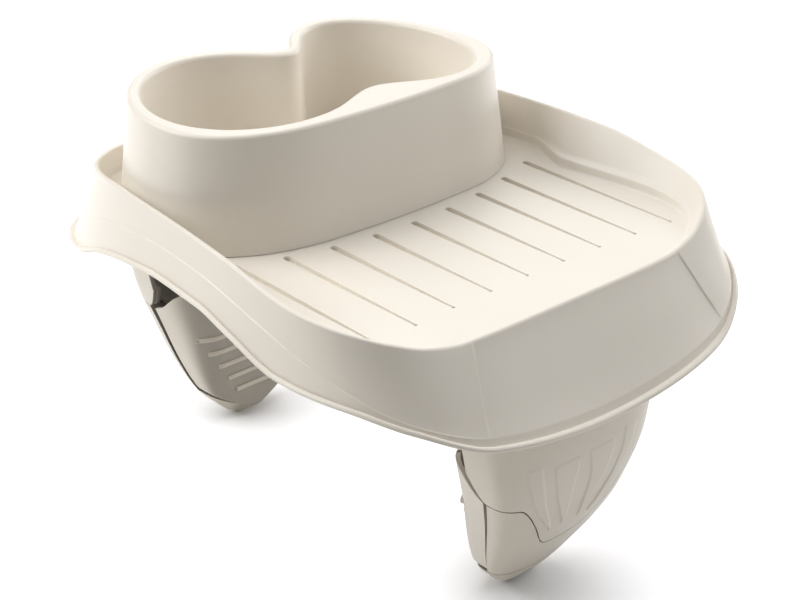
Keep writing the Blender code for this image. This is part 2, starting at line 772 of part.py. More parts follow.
def shell_sheet():
    tongue = TONGUE_SHARE - TONGUE_SIDE_GAP
    shares = [-2.0, -1.7, -1.35, *leg_shares(tongue), 1.35, 1.7, 2.0]
    under = LEG_SKIN + LAP_GAP
    whole = under + LEG_SPIGOT_SKIN
    lift = LAP_GAP * 1.2
    rises = 5

    def row(inset, above, rise=0.0, lap=0.0):
        made = []
        for share in shares:
            kept = 1.0 - 0.9 * smooth(0.88, 1.0, abs(share))
            low = tongue_seam(share, tongue) + lift + above - lap * kept
            made.append(leg_point(share, low + (LEG_TOP_Z - low) * rise, inset))
        return made

    outside = [row(under, 0.0, lap=SPIGOT_LAP), row(under, 0.0), row(0.0, 0.0)]
    inside = [row(whole, 0.0, lap=SPIGOT_LAP), row(whole, 0.0), row(whole, JOGGLE[0])]
    for i in range(rises + 1):
        outside.append(row(0.0, JOGGLE[1], i / rises))
        inside.append(row(LEG_SKIN, JOGGLE[1], i / rises))
    mesh = bmesh.new()
    add_sheet(mesh, outside, inside)
    return mesh


def petal_tool(name, turn):
    """Raised wedges that fan out over the tongue, following its face."""
    mesh = bmesh.new()
    for side in (-1, 1):
        for stations in PETALS:
            inner = [(z, near) for z, near, _ in stations]
            outer = [(z, far) for z, _, far in stations]
            grids = ([], [])
            for i in range(PETAL_ROWS):
                z = stations[0][0] + (stations[-1][0] - stations[0][0]) * i / (PETAL_ROWS - 1)
                near, far = along(inner, z), along(outer, z)
                for grid, inset in zip(grids, (-PETAL_PROUD, LEG_SKIN / 2)):
                    across = [side * (near + (far - near) * j / 3) for j in range(4)]
                    grid.append([leg_point(x / leg_half_width(z), z, inset) for x in across])
            add_sheet(mesh, *grids)
    return solid(name, mesh, turn=turn)


def spring_seat():
    """Where the spring's flat seat inside the shell lies."""
    return leg_out(SPRING_Z - SPRING_PAD_RADIUS) - LEG_SKIN - GAP


def build_shell(name, turn):
    shell = solid(name, shell_sheet(), plastic(name + "_plastic"), turn)
    mesh = bmesh.new()
    rings = []
    for z in (PLATE_Z - PLATE_SKIN, PLATE_Z):
        ring = [leg_point(PLATE_SHARE * (i / 4 - 1.0), z, LEG_SKIN / 2) for i in range(9)]
        ring.append(Vector((PLATE_HALF_WIDTH, PLATE_EDGE_OUT, z)))
        ring.append(Vector((-PLATE_HALF_WIDTH, PLATE_EDGE_OUT, z)))
        rings.append(ring)
    add_loft(mesh, rings)
    combine(shell, solid(name + "_plate_tool", mesh, turn=turn), "UNION")
    places = [Vector((side * LEG_SCREW_X, LEG_SCREW_OUT, 0)) for side in (-1, 1)]
    holes = bmesh.new()
    radius = SCREW_RADIUS + GAP
    for place in places:
        foot = place + Vector((0, 0, PLATE_Z - 0.01))
        add_rod(holes, foot, place + Vector((0, 0, PLATE_Z + 0.01)), ((0, radius), (1, radius)))
    combine(shell, solid(name + "_hole_tool", holes, turn=turn), "DIFFERENCE")
    seat = Vector((0, spring_seat(), SPRING_Z))
    root = seat + Vector((0, SPRING_PAD, 0))
    tip = seat - Vector((0, SPRING_PEG_LENGTH, 0))
    combine(shell, rod(name + "_pad_tool", root, seat, SPRING_PAD_RADIUS, turn), "UNION")
    combine(shell, rod(name + "_peg_tool", root, tip, SPRING_PEG_RADIUS, turn), "UNION")
    combine(shell, petal_tool(name + "_petal_tool", turn), "UNION")
    return shell


def build_cover(name, turn):
    shares = leg_shares(TONGUE_SHARE)

    def grid(inset):
        rows = []
        for i in range(6):
            row = []
            for share in shares:
                low = foot_seam(share)
                z = low + (tongue_seam(share, TONGUE_SHARE) - low) * i / 5
                row.append(leg_point(share, z, inset))
            rows.append(row)
        return rows

    mesh = bmesh.new()
    add_sheet(mesh, grid(0.0), grid(LEG_SKIN))
    cover = solid(name, mesh, plastic(name + "_plastic"), turn)
    arms = bmesh.new()
    rounds = bmesh.new()
    bores = bmesh.new()
    for side in (-1, 1):
        start = Vector((side * LUG_FROM, PIN_OUT, PIN_Z))
        end = Vector((side * LUG_TO, PIN_OUT, PIN_Z))
        add_rod(rounds, start, end, ((0, KNUCKLE_RADIUS), (1, KNUCKLE_RADIUS)))
        low, high = sorted((side * LUG_FROM, side * LUG_TO))
        wall = leg_out(PIN_Z - KNUCKLE_RADIUS) - LEG_SKIN * 0.4
        add_box(
            arms, (low + 0.0001, PIN_OUT, PIN_Z - KNUCKLE_RADIUS * 0.95),
            (high - 0.0001, wall, PIN_Z + 0.0005),
        )
    reach = Vector((LUG_TO + 0.002, PIN_OUT, PIN_Z))
    radius = PIN_RADIUS + GAP
    add_rod(bores, Vector((-reach.x, PIN_OUT, PIN_Z)), reach, ((0, radius), (1, radius)))
    combine(cover, solid(name + "_arm_tool", arms, turn=turn), "UNION")
    combine(cover, solid(name + "_lug_tool", rounds, turn=turn), "UNION")
    combine(cover, solid(name + "_bore_tool", bores, turn=turn), "DIFFERENCE")
    return cover


def jaw_foot(share):
    return JAW_FOOT_Z + JAW_FOOT_RISE * share * share


def jaw_half_width(z):
    return leg_half_width(z) - JAW_SIDE_IN


def foot_room(mesh):
    """The space in the foot tip where the jaw's foot stands."""
    seam_top = FOOT_SEAM_Z + FOOT_SEAM_RISE
    lowest_behind = jaw_foot(0.72)
    behind_face = JAW_FACE_OUT + JAW_SKIN + JAW_FOOT_CLEARANCE
    back = jaw_back(seam_top) + JAW_FOOT_CLEARANCE
    rings = []
    for y, lowest in (
        (JAW_FACE_OUT - 0.008, 0.0), (behind_face, 0.0),
        (behind_face + 0.002, lowest_behind), (back, lowest_behind),
    ):
        ring = [Vector((-0.04, y, seam_top + 0.01))]
        for i in range(13):
            share = -1.0 + i / 6
            z = max(jaw_foot(share), lowest) - JAW_FOOT_CLEARANCE
            ring.append(Vector((jaw_half_width(z) * share * 1.06, y, z)))
        ring.append(Vector((0.04, y, seam_top + 0.01)))
        rings.append(ring)
    add_loft(mesh, rings)


def build_foot(name, turn):
    turns = [math.pi / 2 * 0.97 * i / 8 for i in range(9)]
    shares = [math.sin(a) ** (2 / LEG_SECTION_POWER) for a in turns]
    shares = [-share for share in reversed(shares[1:])] + shares

    def face_point(share, z):
        tuck = FOOT_TUCK * (1.0 - smooth(0.0, FOOT_TUCK_HEIGHT, z))
        corner = leg_corner(z)
        bulge = (1.0 - abs(share) ** LEG_SECTION_POWER) ** (1 / LEG_SECTION_POWER)
        out = corner + (FOOT_FACE_OUT + tuck - corner) * bulge
        return Vector((leg_half_width(z) * share, out, z))

    outside, inside = [], []
    for rise in (0.0, 0.12, 0.3, 0.6, 1.0):
        heights = [(foot_seam(share) - GAP) * rise for share in shares]
        outside.append([leg_point(share, z, 0.0) for share, z in zip(shares, heights)])
        inside.append([face_point(share, z) for share, z in zip(shares, heights)])
    mesh = bmesh.new()
    add_sheet(mesh, outside, inside)
    foot = solid(name, mesh, plastic(name + "_plastic"), turn)
    room = bmesh.new()
    foot_room(room)
    combine(foot, solid(name + "_room_tool", room, turn=turn), "DIFFERENCE")
    plugs = bmesh.new()
    near, far = (JAW_FACE_OUT + depth for depth in FOOT_PLUG_OUT)
    for side in (-1, 1):
        start = LUG_TO + GAP
        low, high = sorted((side * start, side * (start + FOOT_PLUG_THICK)))
        add_box(plugs, (low, near, FOOT_PLUG_Z[0]), (high, far, FOOT_PLUG_Z[1]))
    combine(foot, solid(name + "_plug_tool", plugs, turn=turn), "UNION")
    return foot


def jaw_grid(inset, shares):
    """The jaw's wall: a rounded U round the face, open towards the cover."""
    rows = []
    for i in range(JAW_ROWS):
        row = []
        for angle in shares:
            share = math.copysign(abs(math.sin(angle)) ** (2 / JAW_POWER), angle)
            bulge = min(max(math.cos(angle), 0.0) ** (2 / JAW_POWER) * JAW_FLAT, 1.0)
            top = JAW_TOP_BACK_Z + JAW_TOP_RISE * smooth(0.0, 0.85, bulge)
            top -= JAW_TOP_DIP * (1.0 - smooth(0.0, 0.9, abs(share))) if bulge > 0.9 else 0.0
            low = jaw_foot(share)
            z = low + (top - low) * i / (JAW_ROWS - 1)
            back = jaw_back(z)
            face = JAW_FACE_OUT + inset
            narrow = JAW_NARROW * bulge * smooth(*JAW_NARROW_BETWEEN, z)
            half = (jaw_half_width(z) - inset) * (1.0 - narrow)
            row.append(Vector((half * share, back + (face - back) * bulge, z)))
        rows.append(row)
    return rows


def jaw_face(x, z):
    """How far out the jaw's face lies at a place across."""
    back = jaw_back(z)
    narrow = JAW_NARROW * smooth(*JAW_NARROW_BETWEEN, z)
    share = min(abs(x) / (jaw_half_width(z) * (1.0 - narrow)), 1.0)
    bulge = min((1.0 - share**JAW_POWER) ** (1.0 / JAW_POWER) * JAW_FLAT, 1.0)
    return back + (JAW_FACE_OUT - back) * bulge


def rib_tool(name, turn):
    """Raised ribs that follow the face and sink into it at their ends."""
    mesh = bmesh.new()
    turns = [2 * math.pi * i / RIB_SIDES for i in range(RIB_SIDES)]
    for i in range(RIBS):
        z = RIB_LOW_Z + RIB_PITCH * i
        half = RIB_LOW_HALF + RIB_GROWTH * i
        rings = []
        for along_rib, size in RIB_RINGS:
            x = half * along_rib
            radius = RIB_RADIUS * size
            out = jaw_face(x, z) + RIB_RADIUS - RIB_PROUD
            rings.append([
                Vector((x, out + radius * math.cos(a), z + radius * math.sin(a))) for a in turns
            ])
        add_loft(mesh, rings)
    return solid(name, mesh, turn=turn)


def build_jaw(name, turn):
    angles = [math.pi * (i / 20 - 0.5) for i in range(21)]
    mesh = bmesh.new()
    add_sheet(mesh, jaw_grid(0.0, angles), jaw_grid(JAW_SKIN, angles))
    jaw = solid(name, mesh, plastic(name + "_plastic"), turn)
    left, right = (Vector((side * KNUCKLE_HALF, PIN_OUT, PIN_Z)) for side in (-1, 1))
    web = bmesh.new()
    add_box(
        web, (-KNUCKLE_HALF + 0.0001, JAW_FACE_OUT + JAW_SKIN * 0.5, PIN_Z - 0.003),
        (KNUCKLE_HALF - 0.0001, PIN_OUT, PIN_Z + 0.003),
    )
    combine(jaw, solid(name + "_web_tool", web, turn=turn), "UNION")
    combine(jaw, rod(name + "_knuckle_tool", left, right, KNUCKLE_RADIUS, turn), "UNION")
    longer = Vector((0.002, 0, 0))
    bore = rod(name + "_bore_tool", left - longer, right + longer, PIN_RADIUS + GAP, turn)
    combine(jaw, bore, "DIFFERENCE")
    face = JAW_FACE_OUT + JAW_SKIN
    peg = rod(
        name + "_peg_tool", Vector((0, face - SPRING_ROOT, SPRING_Z)),
        Vector((0, face + SPRING_PEG_LENGTH, SPRING_Z)), SPRING_PEG_RADIUS, turn,
    )
    combine(jaw, peg, "UNION")
    combine(jaw, rib_tool(name + "_rib_tool", turn), "UNION")
    pivoted(jaw, turn @ Vector((0, PIN_OUT, PIN_Z)))
    return jaw


def build_pin(name, turn):
    mesh = bmesh.new()
    ends = [Vector((side * PIN_HALF_LENGTH, PIN_OUT, PIN_Z)) for side in (-1, 1)]
    add_rod(mesh, *ends, (
        (0, PIN_RADIUS * 0.8), (0.012, PIN_RADIUS), (0.988, PIN_RADIUS), (1, PIN_RADIUS * 0.8),
    ))
    return solid(name, mesh, steel(name + "_steel"), turn)


def spring_line():
    """Points of a spring's wire, from the jaw to the shell."""
    start = JAW_FACE_OUT + JAW_SKIN + SPRING_WIRE + GAP
    end = spring_seat() - SPRING_WIRE - GAP
    steps = SPRING_TURNS * SPRING_STEPS
    points = []
    for i in range(steps + 1):
        angle = 2 * math.pi * i / SPRING_STEPS
        x, up = SPRING_RADIUS * math.cos(angle), SPRING_RADIUS * math.sin(angle)
        points.append(Vector((x, start + (end - start) * i / steps, SPRING_Z + up)))
    return points


def build_spring(name, turn):
    points = spring_line()
    turns_apart = (points[SPRING_STEPS] - points[0]).length - 2 * SPRING_WIRE
    print(f"{name}: least gap between turns {turns_apart * 1000:.2f} mm")
    data = bpy.data.curves.new(name, "CURVE")
    data.dimensions = "3D"
    data.bevel_depth = SPRING_WIRE
    data.bevel_resolution = 1
    data.use_fill_caps = True
    line = data.splines.new("POLY")
    line.points.add(len(points) - 1)
    for spot, point in zip(line.points, points):
        spot.co = (*(turn @ point), 1.0)
    made = bpy.data.objects.new(name, data)
    collection(COLLECTION).objects.link(made)
    data.materials.append(steel(name + "_steel"))
    return made


def build_leg(side, turn):
    build_shell(side + "_leg_shell", turn)
    build_cover(side + "_leg_cover", turn)
    build_foot(side + "_foot_tip", turn)
    build_jaw(side + "_grip_jaw", turn)
    build_pin(side + "_jaw_pin", turn)
    build_spring(side + "_jaw_spring", turn)


def main():
    clear_scene()
    build_tray()
    build_well()
    build_well_screws()
    build_leg_screws()
    build_leg("front", FRONT_TURN)
    build_leg("rear", BACK_TURN)


main()
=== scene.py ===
import math

import bmesh
import bpy
from mathutils import Matrix, Vector


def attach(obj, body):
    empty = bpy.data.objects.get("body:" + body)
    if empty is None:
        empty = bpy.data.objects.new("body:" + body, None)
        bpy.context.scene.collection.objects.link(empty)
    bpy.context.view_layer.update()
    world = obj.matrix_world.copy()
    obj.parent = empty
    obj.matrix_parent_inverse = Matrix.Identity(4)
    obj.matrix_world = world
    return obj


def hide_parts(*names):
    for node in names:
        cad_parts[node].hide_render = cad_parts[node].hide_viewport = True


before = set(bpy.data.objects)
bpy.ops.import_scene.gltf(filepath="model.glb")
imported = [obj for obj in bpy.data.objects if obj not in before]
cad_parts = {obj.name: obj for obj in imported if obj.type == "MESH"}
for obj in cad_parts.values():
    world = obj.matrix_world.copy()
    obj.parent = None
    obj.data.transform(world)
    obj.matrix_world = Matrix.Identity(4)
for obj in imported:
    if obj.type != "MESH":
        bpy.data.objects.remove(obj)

bl_info = {
    "name": "Hot Tub Cup Holder",
    "version": (1, 0),
    "blender": (4, 5, 0),
    "location": "View3D > Sidebar > Cup Holder",
    "description": "Builds the visible pieces of a clip-on tub tray round its packed solids",
    "category": "Object",
}

IMAGE_WIDTH = 800         # pixels of the picture that the camera was fitted to
GAP = 0.0003              # clearance between pieces that touch
LAP_GAP = 0.00035

# Tray: plans of the wall's top edge and of the skirt's lower edge
FLOOR_Z = 0.1425
TAPER_LENGTH = 1.11       # the plan narrows towards the cups, to nothing this far off
WALL_HALF_WIDTH = 0.1033
WALL_FRONT = 0.118
WALL_BACK = 0.110
WALL_FRONT_POWER = 4.6
WALL_BACK_POWER = 4.0
EDGE_HALF_WIDTH = 0.1075
EDGE_REACH = 0.1455
EDGE_POWER = 3.4
STEP_HEIGHT = 0.0042
STEP_WIDTH = 0.0034
FOOT_INSET_PER_RISE = 0.62
FOOT_INSET_LEAST = 0.0032
BESIDE_WELL = (76.0, 92.0)
CREASE_BEARINGS = (22.0, 29.0, 138.0, 150.0)
CREASE_SHARE = (          # where the crease runs, as a share of the way down the skirt
    (26, 0.86), (34, 0.88), (40, 0.845), (46, 0.72), (52, 0.57), (60, 0.45), (70, 0.46),
    (90, 0.46), (114, 0.50), (180, 0.52),
)
PANEL_BEARINGS = (28.0, 25.0)   # the flat front panel ends here, at +X and at -X
PANEL_EDGE = 0.12               # half the width of its edge, in degrees
WALL_RISE = (             # height of the wall over the floor by bearing, 0 at the front
    (0, 0.0), (26, 0.0), (33, 0.0023), (39, 0.0067), (46, 0.0110), (57, 0.0148), (72, 0.0198),
    (93, 0.0210), (114, 0.0205), (127, 0.0175), (143, 0.0125), (180, 0.0085),
)
EDGE_DROP = (             # how far the skirt's lower edge hangs below the floor
    (0, 0.0397), (24, 0.0339), (36, 0.0226), (45, 0.0167), (57, 0.0150), (68, 0.0085),
    (79, 0.0045), (92, 0.0045), (110, 0.0085), (122, 0.0145), (134, 0.0253),
    (147, 0.0313), (180, 0.0397),
)

# Drain grooves
GROOVE_START_Y = -0.0243
GROOVE_START_BOW = 0.00096
GROOVE_END_Y = -0.0927
GROOVE_END_BOW = 0.00023
GROOVE_WIDE = 0.0016
GROOVE_FINE = 0.00045
GROOVE_DOT = 0.0008

# Cup well
WELL_CENTRE = (0.005, 0.043)
CUP_Y = 0.0430
BIG_CUP_X = -0.0358
BIG_CUP_HALF = (0.0446, 0.0446)
SMALL_CUP_X = 0.0433
SMALL_CUP_HALF = (0.0332, 0.0444)
CUP_LEAN = 0.385
CUP_BLEND = 0.029
WELL_BLEND = 0.014
BAR_BLEND = 0.004
FRONT_BAR = (-0.0013, 0.0300)
FRONT_BAR_HALF = (0.0854, 0.0412)
FRONT_BAR_POWER = 2.6
WELL_DRAFT = 0.0060
CUP_DRAFT = 0.0016
WELL_POST_BEARINGS = (40.0, 140.0, 235.0, 308.0)

# Legs, in (x, out, z): out is the distance from the middle of the gap between them
LEGS_Y = 0.0012
LEG_DEPTH = 0.0434
JAW_FACE_OUT = min(EDGE_REACH - 0.0147, WALL_BACK + 0.0208) - LEG_DEPTH
LEG_HALF_WIDTH = (        # by height above the ground
    (0.0, 0.0065), (0.0015, 0.0100), (0.004, 0.0140), (0.008, 0.0182), (0.015, 0.0244),
    (0.030, 0.0310), (0.050, 0.0370), (0.075, 0.0442), (0.105, 0.0498), (0.126, 0.0515),
)
LEG_FACE = (              # the outside's middle line, out from the grip face
    (0.0, 0.0088), (0.003, 0.0122), (0.008, 0.0160), (0.015, 0.0200), (0.030, 0.0294),
    (0.050, 0.0388), (0.075, 0.0434), (0.105, 0.0416), (0.126, 0.0350),
)
LEG_CORNER = (            # the line where the flat sides turn into the rounded outside
    (0.0, 0.0066), (0.016, 0.0141), (0.029, 0.0186), (0.042, 0.0226), (0.054, 0.0256),
    (0.066, 0.0281), (0.080, 0.0291), (0.102, 0.0291), (0.127, 0.0211),
)
LEG_SECTION_POWER = 3.3
LEG_CORE_OUT = JAW_FACE_OUT + 0.0120    # a leg's inner faces are those that face this line
SPIGOT_SKIN = 0.0018
PLATE_Z = FLOOR_Z - 0.0165
PLATE_SKIN = 0.0026
PLATE_HALF_WIDTH = 0.0340
PLATE_FRONT_OUT = JAW_FACE_OUT + 0.0080
PLATE_SHARE = 0.86
SHELL_EDGE_OUT = JAW_FACE_OUT + 0.0190
SEAM_SIDE_Z = 0.0612
SEAM_CORNER_Z = 0.0622
SEAM_EDGE_RISE = 0.0120
TONGUE_TIP_Z = 0.0302
TONGUE_SHARE = 0.83
TONGUE_POWER = 1.95
TONGUE_SIDE_GAP = 0.0100
SPIGOT_LAP = 0.0030
FOOT_SEAM_Z = 0.0100
FOOT_SEAM_RISE = 0.0060
FOOT_FACE_OUT = JAW_FACE_OUT + 0.0003
FOOT_TUCK = 0.0050
FOOT_TUCK_HEIGHT = 0.013
FOOT_PLUG_OUT = (0.0098, 0.0126)
FOOT_PLUG_THICK = 0.0034
FOOT_PLUG_Z = (0.0070, 0.0195)
PETALS = (                # two raised petals each side: (height, inner edge, outer edge)
    ((0.0430, 0.0045, 0.0052), (0.0500, 0.0042, 0.0080), (0.0640, 0.0047, 0.0142),
     (0.0780, 0.0030, 0.0172)),
    ((0.0415, 0.0108, 0.0114), (0.0500, 0.0142, 0.0172), (0.0620, 0.0198, 0.0252),
     (0.0810, 0.0240, 0.0310)),
)
PETALS_OFF = 0.0015       # the petals' middle line lies this far to one side

# Grip jaws, with their pins and springs
JAW_POWER = 4.5
JAW_FLAT = 1.03
JAW_GAP_LOW = 0.0007
JAW_GAP_SLOPE = 0.044
JAW_GAP_FROM = 0.016
JAW_SIDE_IN = 0.0007
JAW_NARROW = 0.09
JAW_NARROW_BETWEEN = (0.012, 0.055)
JAW_FOOT_Z = 0.0035
JAW_FOOT_RISE = 0.0133
JAW_TOP_BACK_Z = 0.0615
JAW_TOP_RISE = 0.0122
JAW_TOP_DIP = 0.0040
JAW_FOOT_CLEARANCE = 0.0006
FOOT_ROOM_DEEP = 0.0022   # the jaw's foot stands this deep behind the grip face
FOOT_ROOM_SHARE = 0.72    # nearer the cover, the room is only as low as the jaw's foot here
RIB_LOW_Z = 0.0172
RIB_LOW_HALF = 0.0118
RIB_POINTS = 56           # points along a rib
RIB_END = 0.07            # the share of its half length over which a rib tapers off
PIN_OUT = JAW_FACE_OUT + 0.0084
PIN_Z = 0.0200
PIN_RADIUS = 0.0015
PIN_HALF_LENGTH = 0.0136
KNUCKLE_RADIUS = 0.0042
KNUCKLE_HALF = 0.0094
KNUCKLE_WEB_HALF = 0.003
LUG_FROM = 0.0100
LUG_TO = 0.0130
SPRING_Z = 0.0460
SPRING_RADIUS = 0.0036
SPRING_WIRE = 0.00045
SPRING_TURNS = 6
SPRING_PAD_RADIUS = 0.0045
SPRING_PAD = 0.0020
SPRING_PEG_RADIUS = 0.0026
SPRING_PEG_LENGTH = 0.0030

# Screws
SCREW_RADIUS = 0.0015
SCREW_HEAD_RADIUS = 0.0032
SCREW_HEAD = 0.0020
SCREW_LENGTH = 0.0110
COUNTERSUNK_HEAD = 0.0017
COUNTERSUNK_BELOW = 0.0002
LEG_SCREW_X = 0.0260
LEG_SCREW_OUT = JAW_FACE_OUT + 0.0126
LEG_BOSS_RADIUS = 0.0045
WELL_POST_RADIUS = 0.0055
WELL_POST_HEIGHT = 0.0130

BACK_TURN = Matrix.Translation((0.0, LEGS_Y, 0.0))
FRONT_TURN = BACK_TURN @ Matrix.Rotation(math.pi, 4, "Z")
LEGS = {"front": FRONT_TURN, "rear": BACK_TURN}


def length(name, default, description):
    return bpy.props.FloatProperty(
        name=name, description=description, default=default, unit="LENGTH", precision=5
    )


def number(name, default, description):
    return bpy.props.FloatProperty(name=name, description=description, default=default)


def count(name, default, description):
    return bpy.props.IntProperty(name=name, description=description, default=default)


def triple(name, default, description, subtype="COLOR"):
    return bpy.props.FloatVectorProperty(
        name=name, description=description, subtype=subtype, size=3, default=default
    )


class HolderTray(bpy.types.PropertyGroup):
    skin: length("Skin", 0.0025, "Thickness of the tray moulding")
    stations: count("Stations", 300, "Points round each ring of the tray")
    top_width: length("Top Width", 0.002, "Width of the wall's top")
    edge_round: length("Edge Round", 0.0009, "Rounding of the wall's top edges")
    front_round: length("Front Round", 0.0013, "Rounding of the open front edge")
    bead_height: length("Bead Height", 0.0024, "Bead along the skirt's lower edge")
    bead_out: length("Bead Out", 0.0015, "How far the bead stands out")
    crease_proud: length("Crease", 0.00035, "Step of the fine line along the side skirts")
    panel_deep: length("Panel", 0.0006, "How far the flat front panel lies back")
    grooves: count("Grooves", 9, "Drain grooves in the floor")
    groove_pitch: length("Groove Pitch", 0.0206, "Distance between two grooves")
    groove_deep: length("Groove Depth", 0.0019, "Depth of the grooves below the floor")
    groove_edge: length("Groove Edge", 0.00015, "Chamfer along their edges")


class HolderWell(bpy.types.PropertyGroup):
    skin: length("Skin", 0.0022, "Thickness of the well's walls")
    stations: count("Stations", 280, "Points round each ring of the well")
    rim_z: length("Rim Height", FLOOR_Z + 0.0495, "Height of the rim above the ground")
    rim_width: length("Rim Width", 0.0068, "Width of the rim outside the cups")
    rim_round: length("Rim Round", 0.0022, "Rounding of the rim's edges")
    cup_fillet: length("Cup Fillet", 0.003, "Fillet at the foot of the cups")
    foot_out: length("Foot Out", 0.0002, "Small foot round the well")
    foot_height: length("Foot Height", 0.0006, "Height of that foot")


class HolderLegs(bpy.types.PropertyGroup):
    skin: length("Skin", 0.0022, "Thickness of the leg's mouldings")
    seam_round: length("Seam Round", 0.00025, "Rounding of the edges along a seam")
    petal_proud: length("Petal", 0.0006, "How far the petals stand proud")
    petal_edge: length("Petal Edge", 0.00055, "Width of a petal's sloping edge")
    ribs: count("Ribs", 5, "Grip ribs on each jaw")
    rib_pitch: length("Rib Pitch", 0.0079, "Distance between two ribs")
    rib_growth: length("Rib Growth", 0.0048, "Each rib above is longer, each side")
    rib_radius: length("Rib Radius", 0.0012, "Radius of a rib's section")
    rib_proud: length("Rib Proud", 0.0014, "How far a rib stands proud")


class HolderFinish(bpy.types.PropertyGroup):
    plastic: triple("Plastic", (0.83, 0.777, 0.693), "Colour of the moulded plastic")
    plastic_rough: number("Plastic Roughness", 0.36, "Middle of its roughness")
    # Painted shade: Inside Tone darkens the colour of the legs' and jaws' inner faces, as if shaded
    inside: number("Inside Tone", 0.28, "How bright the legs' unpolished inner faces are")
    # Painted shade: Grip Face and Grip Ribs darken the jaws' grip faces and their ribs, as if
    # shaded
    grip_face_shade: number("Grip Face", 0.6, "How unpolished the jaws' grip faces are")
    grip_rib_shade: number("Grip Ribs", 0.1, "How unpolished the ribs on them are")
    grain_size: length("Grain Size", 0.0006, "Size of the mould's fine grain")
    grain_depth: length("Grain Depth", 0.00002, "Depth of that grain")
    steel: triple("Steel", (0.56, 0.56, 0.57), "Colour of pins, springs and screws")


class HolderCamera(bpy.types.PropertyGroup):
    azimuth: number("Azimuth", -42.24, "Bearing of the camera in degrees")
    elevation: number("Elevation", 27.02, "Camera's height in degrees")
    roll: number("Roll", 0.5, "Roll in degrees")
    aim: triple(
        "Aim", (0.02897, 0.01483, 0.0807), "Point in the middle of the picture", "TRANSLATION"
    )
    distance: length("Distance", 0.828, "From the camera to the aim")
    focal_px: number("Focal Length", 1798.0, "Focal length in pixels of the picture")


# Curves and outlines


def smooth(low, high, at):
    share = min(max((at - low) / (high - low), 0.0), 1.0)
    return share * share * (3.0 - 2.0 * share)


def station_slope(stations, index):
    """Slope at a station that keeps the curve between its neighbours' values."""
    if index in (0, len(stations) - 1):
        return 0.0
    (a, low), (b, middle), (c, high) = stations[index - 1:index + 2]
    before = (middle - low) / (b - a)
    after = (high - middle) / (c - b)
    if before * after <= 0.0:
        return 0.0
    return 2.0 * before * after / (before + after)


def along(stations, at):
    """Smooth value between (place, value) stations."""
    at = min(max(at, stations[0][0]), stations[-1][0])
    for index in range(len(stations) - 1):
        (a, low), (b, high) = stations[index], stations[index + 1]
        if at <= b:
            break
    span = b - a
    t = (at - a) / span
    first = station_slope(stations, index) * span
    last = station_slope(stations, index + 1) * span
    return (
        low * (2 * t**3 - 3 * t**2 + 1) + first * (t**3 - 2 * t**2 + t)
        + high * (3 * t**2 - 2 * t**3) + last * (t**3 - t**2)
    )


def bisect(inside, low, high):
    """Where inside() turns false, between low and high."""
    for _ in range(30):
        middle = (low + high) / 2.0
        if inside(middle):
            low = middle
        else:
            high = middle
    return low


def rounded(corners, steps=4):
    """A section through (point, radius) corners, each turned over a short curve."""
    made = []
    last = len(corners) - 1
    for i, (point, radius) in enumerate(corners):
        if i in (0, last) or radius == 0.0:
            made.append(point)
            continue
        before = corners[i - 1][0] - point
        after = corners[i + 1][0] - point
        start = point + before * min(radius / max(before.length, 1e-7), 0.45)
        end = point + after * min(radius / max(after.length, 1e-7), 0.45)
        for j in range(steps + 1):
            t = j / steps
            made.append(start * (1 - t) ** 2 + point * 2 * t * (1 - t) + end * t * t)
    return made


# Meshes


def add_loft(mesh, rings):
    """Joins closed rings of points in order and caps both ends."""
    rows = [[mesh.verts.new(point) for point in ring] for ring in rings]
    points = len(rows[0])
    for row, following in zip(rows, rows[1:]):
        for i in range(points):
            j = (i + 1) % points
            mesh.faces.new((row[i], following[i], following[j], row[j]))
    mesh.faces.new(rows[0])
    mesh.faces.new(reversed(rows[-1]))


def add_sheet(mesh, outside, inside):
    """A thin body between two grids of points, closed round its four edges."""
    outer = [[mesh.verts.new(point) for point in row] for row in outside]
    inner = [[mesh.verts.new(point) for point in row] for row in inside]
    last_row = len(outer) - 1
    last = len(outer[0]) - 1
    for grid in (outer, inner):
        for row, following in zip(grid, grid[1:]):
            for i in range(last):
                mesh.faces.new((row[i], following[i], following[i + 1], row[i + 1]))
    for row in (0, last_row):
        for i in range(last):
            mesh.faces.new((outer[row][i], outer[row][i + 1], inner[row][i + 1], inner[row][i]))
    for i in (0, last):
        for row in range(last_row):
            mesh.faces.new((outer[row][i], outer[row + 1][i], inner[row + 1][i], inner[row][i]))


def circle(radius, place, across, up, sides):
    turns = [2 * math.pi * i / sides for i in range(sides)]
    return [place + across * radius * math.cos(a) + up * radius * math.sin(a) for a in turns]


def add_rod(mesh, start, end, radii, sides=40):
    """A turned body along start to end, with (share along, radius) for each ring."""
    axis = (end - start).normalized()
    across = axis.orthogonal().normalized()
    up = axis.cross(across)
    add_loft(mesh, [circle(r, start.lerp(end, t), across, up, sides) for t, r in radii])


def add_box(mesh, low, high):
    corners = [(low[0], low[1]), (high[0], low[1]), (high[0], high[1]), (low[0], high[1])]
    add_loft(mesh, [[Vector((x, y, z)) for x, y in corners] for z in (low[2], high[2])])


def solid(name, mesh, turn=Matrix.Identity(4)):
    bmesh.ops.remove_doubles(mesh, verts=mesh.verts, dist=1e-7)
    bmesh.ops.transform(mesh, matrix=turn, verts=mesh.verts)
    bmesh.ops.recalc_face_normals(mesh, faces=mesh.faces)
    data = bpy.data.meshes.new(name)
    mesh.to_mesh(data)
    mesh.free()
    made = bpy.data.objects.new(name, data)
    bpy.context.scene.collection.objects.link(made)
    return made


def rod(name, start, end, radius, turn=Matrix.Identity(4)):
    mesh = bmesh.new()
    add_rod(mesh, start, end, ((0, radius), (1, radius)))
    return solid(name, mesh, turn)


def rods(name, places, low, high, radius, turn=Matrix.Identity(4)):
    """Upright rods at places, as one tool."""
    mesh = bmesh.new()
    for place in places:
        foot = place + Vector((0, 0, low))
        add_rod(mesh, foot, place + Vector((0, 0, high)), ((0, radius), (1, radius)))
    return solid(name, mesh, turn)


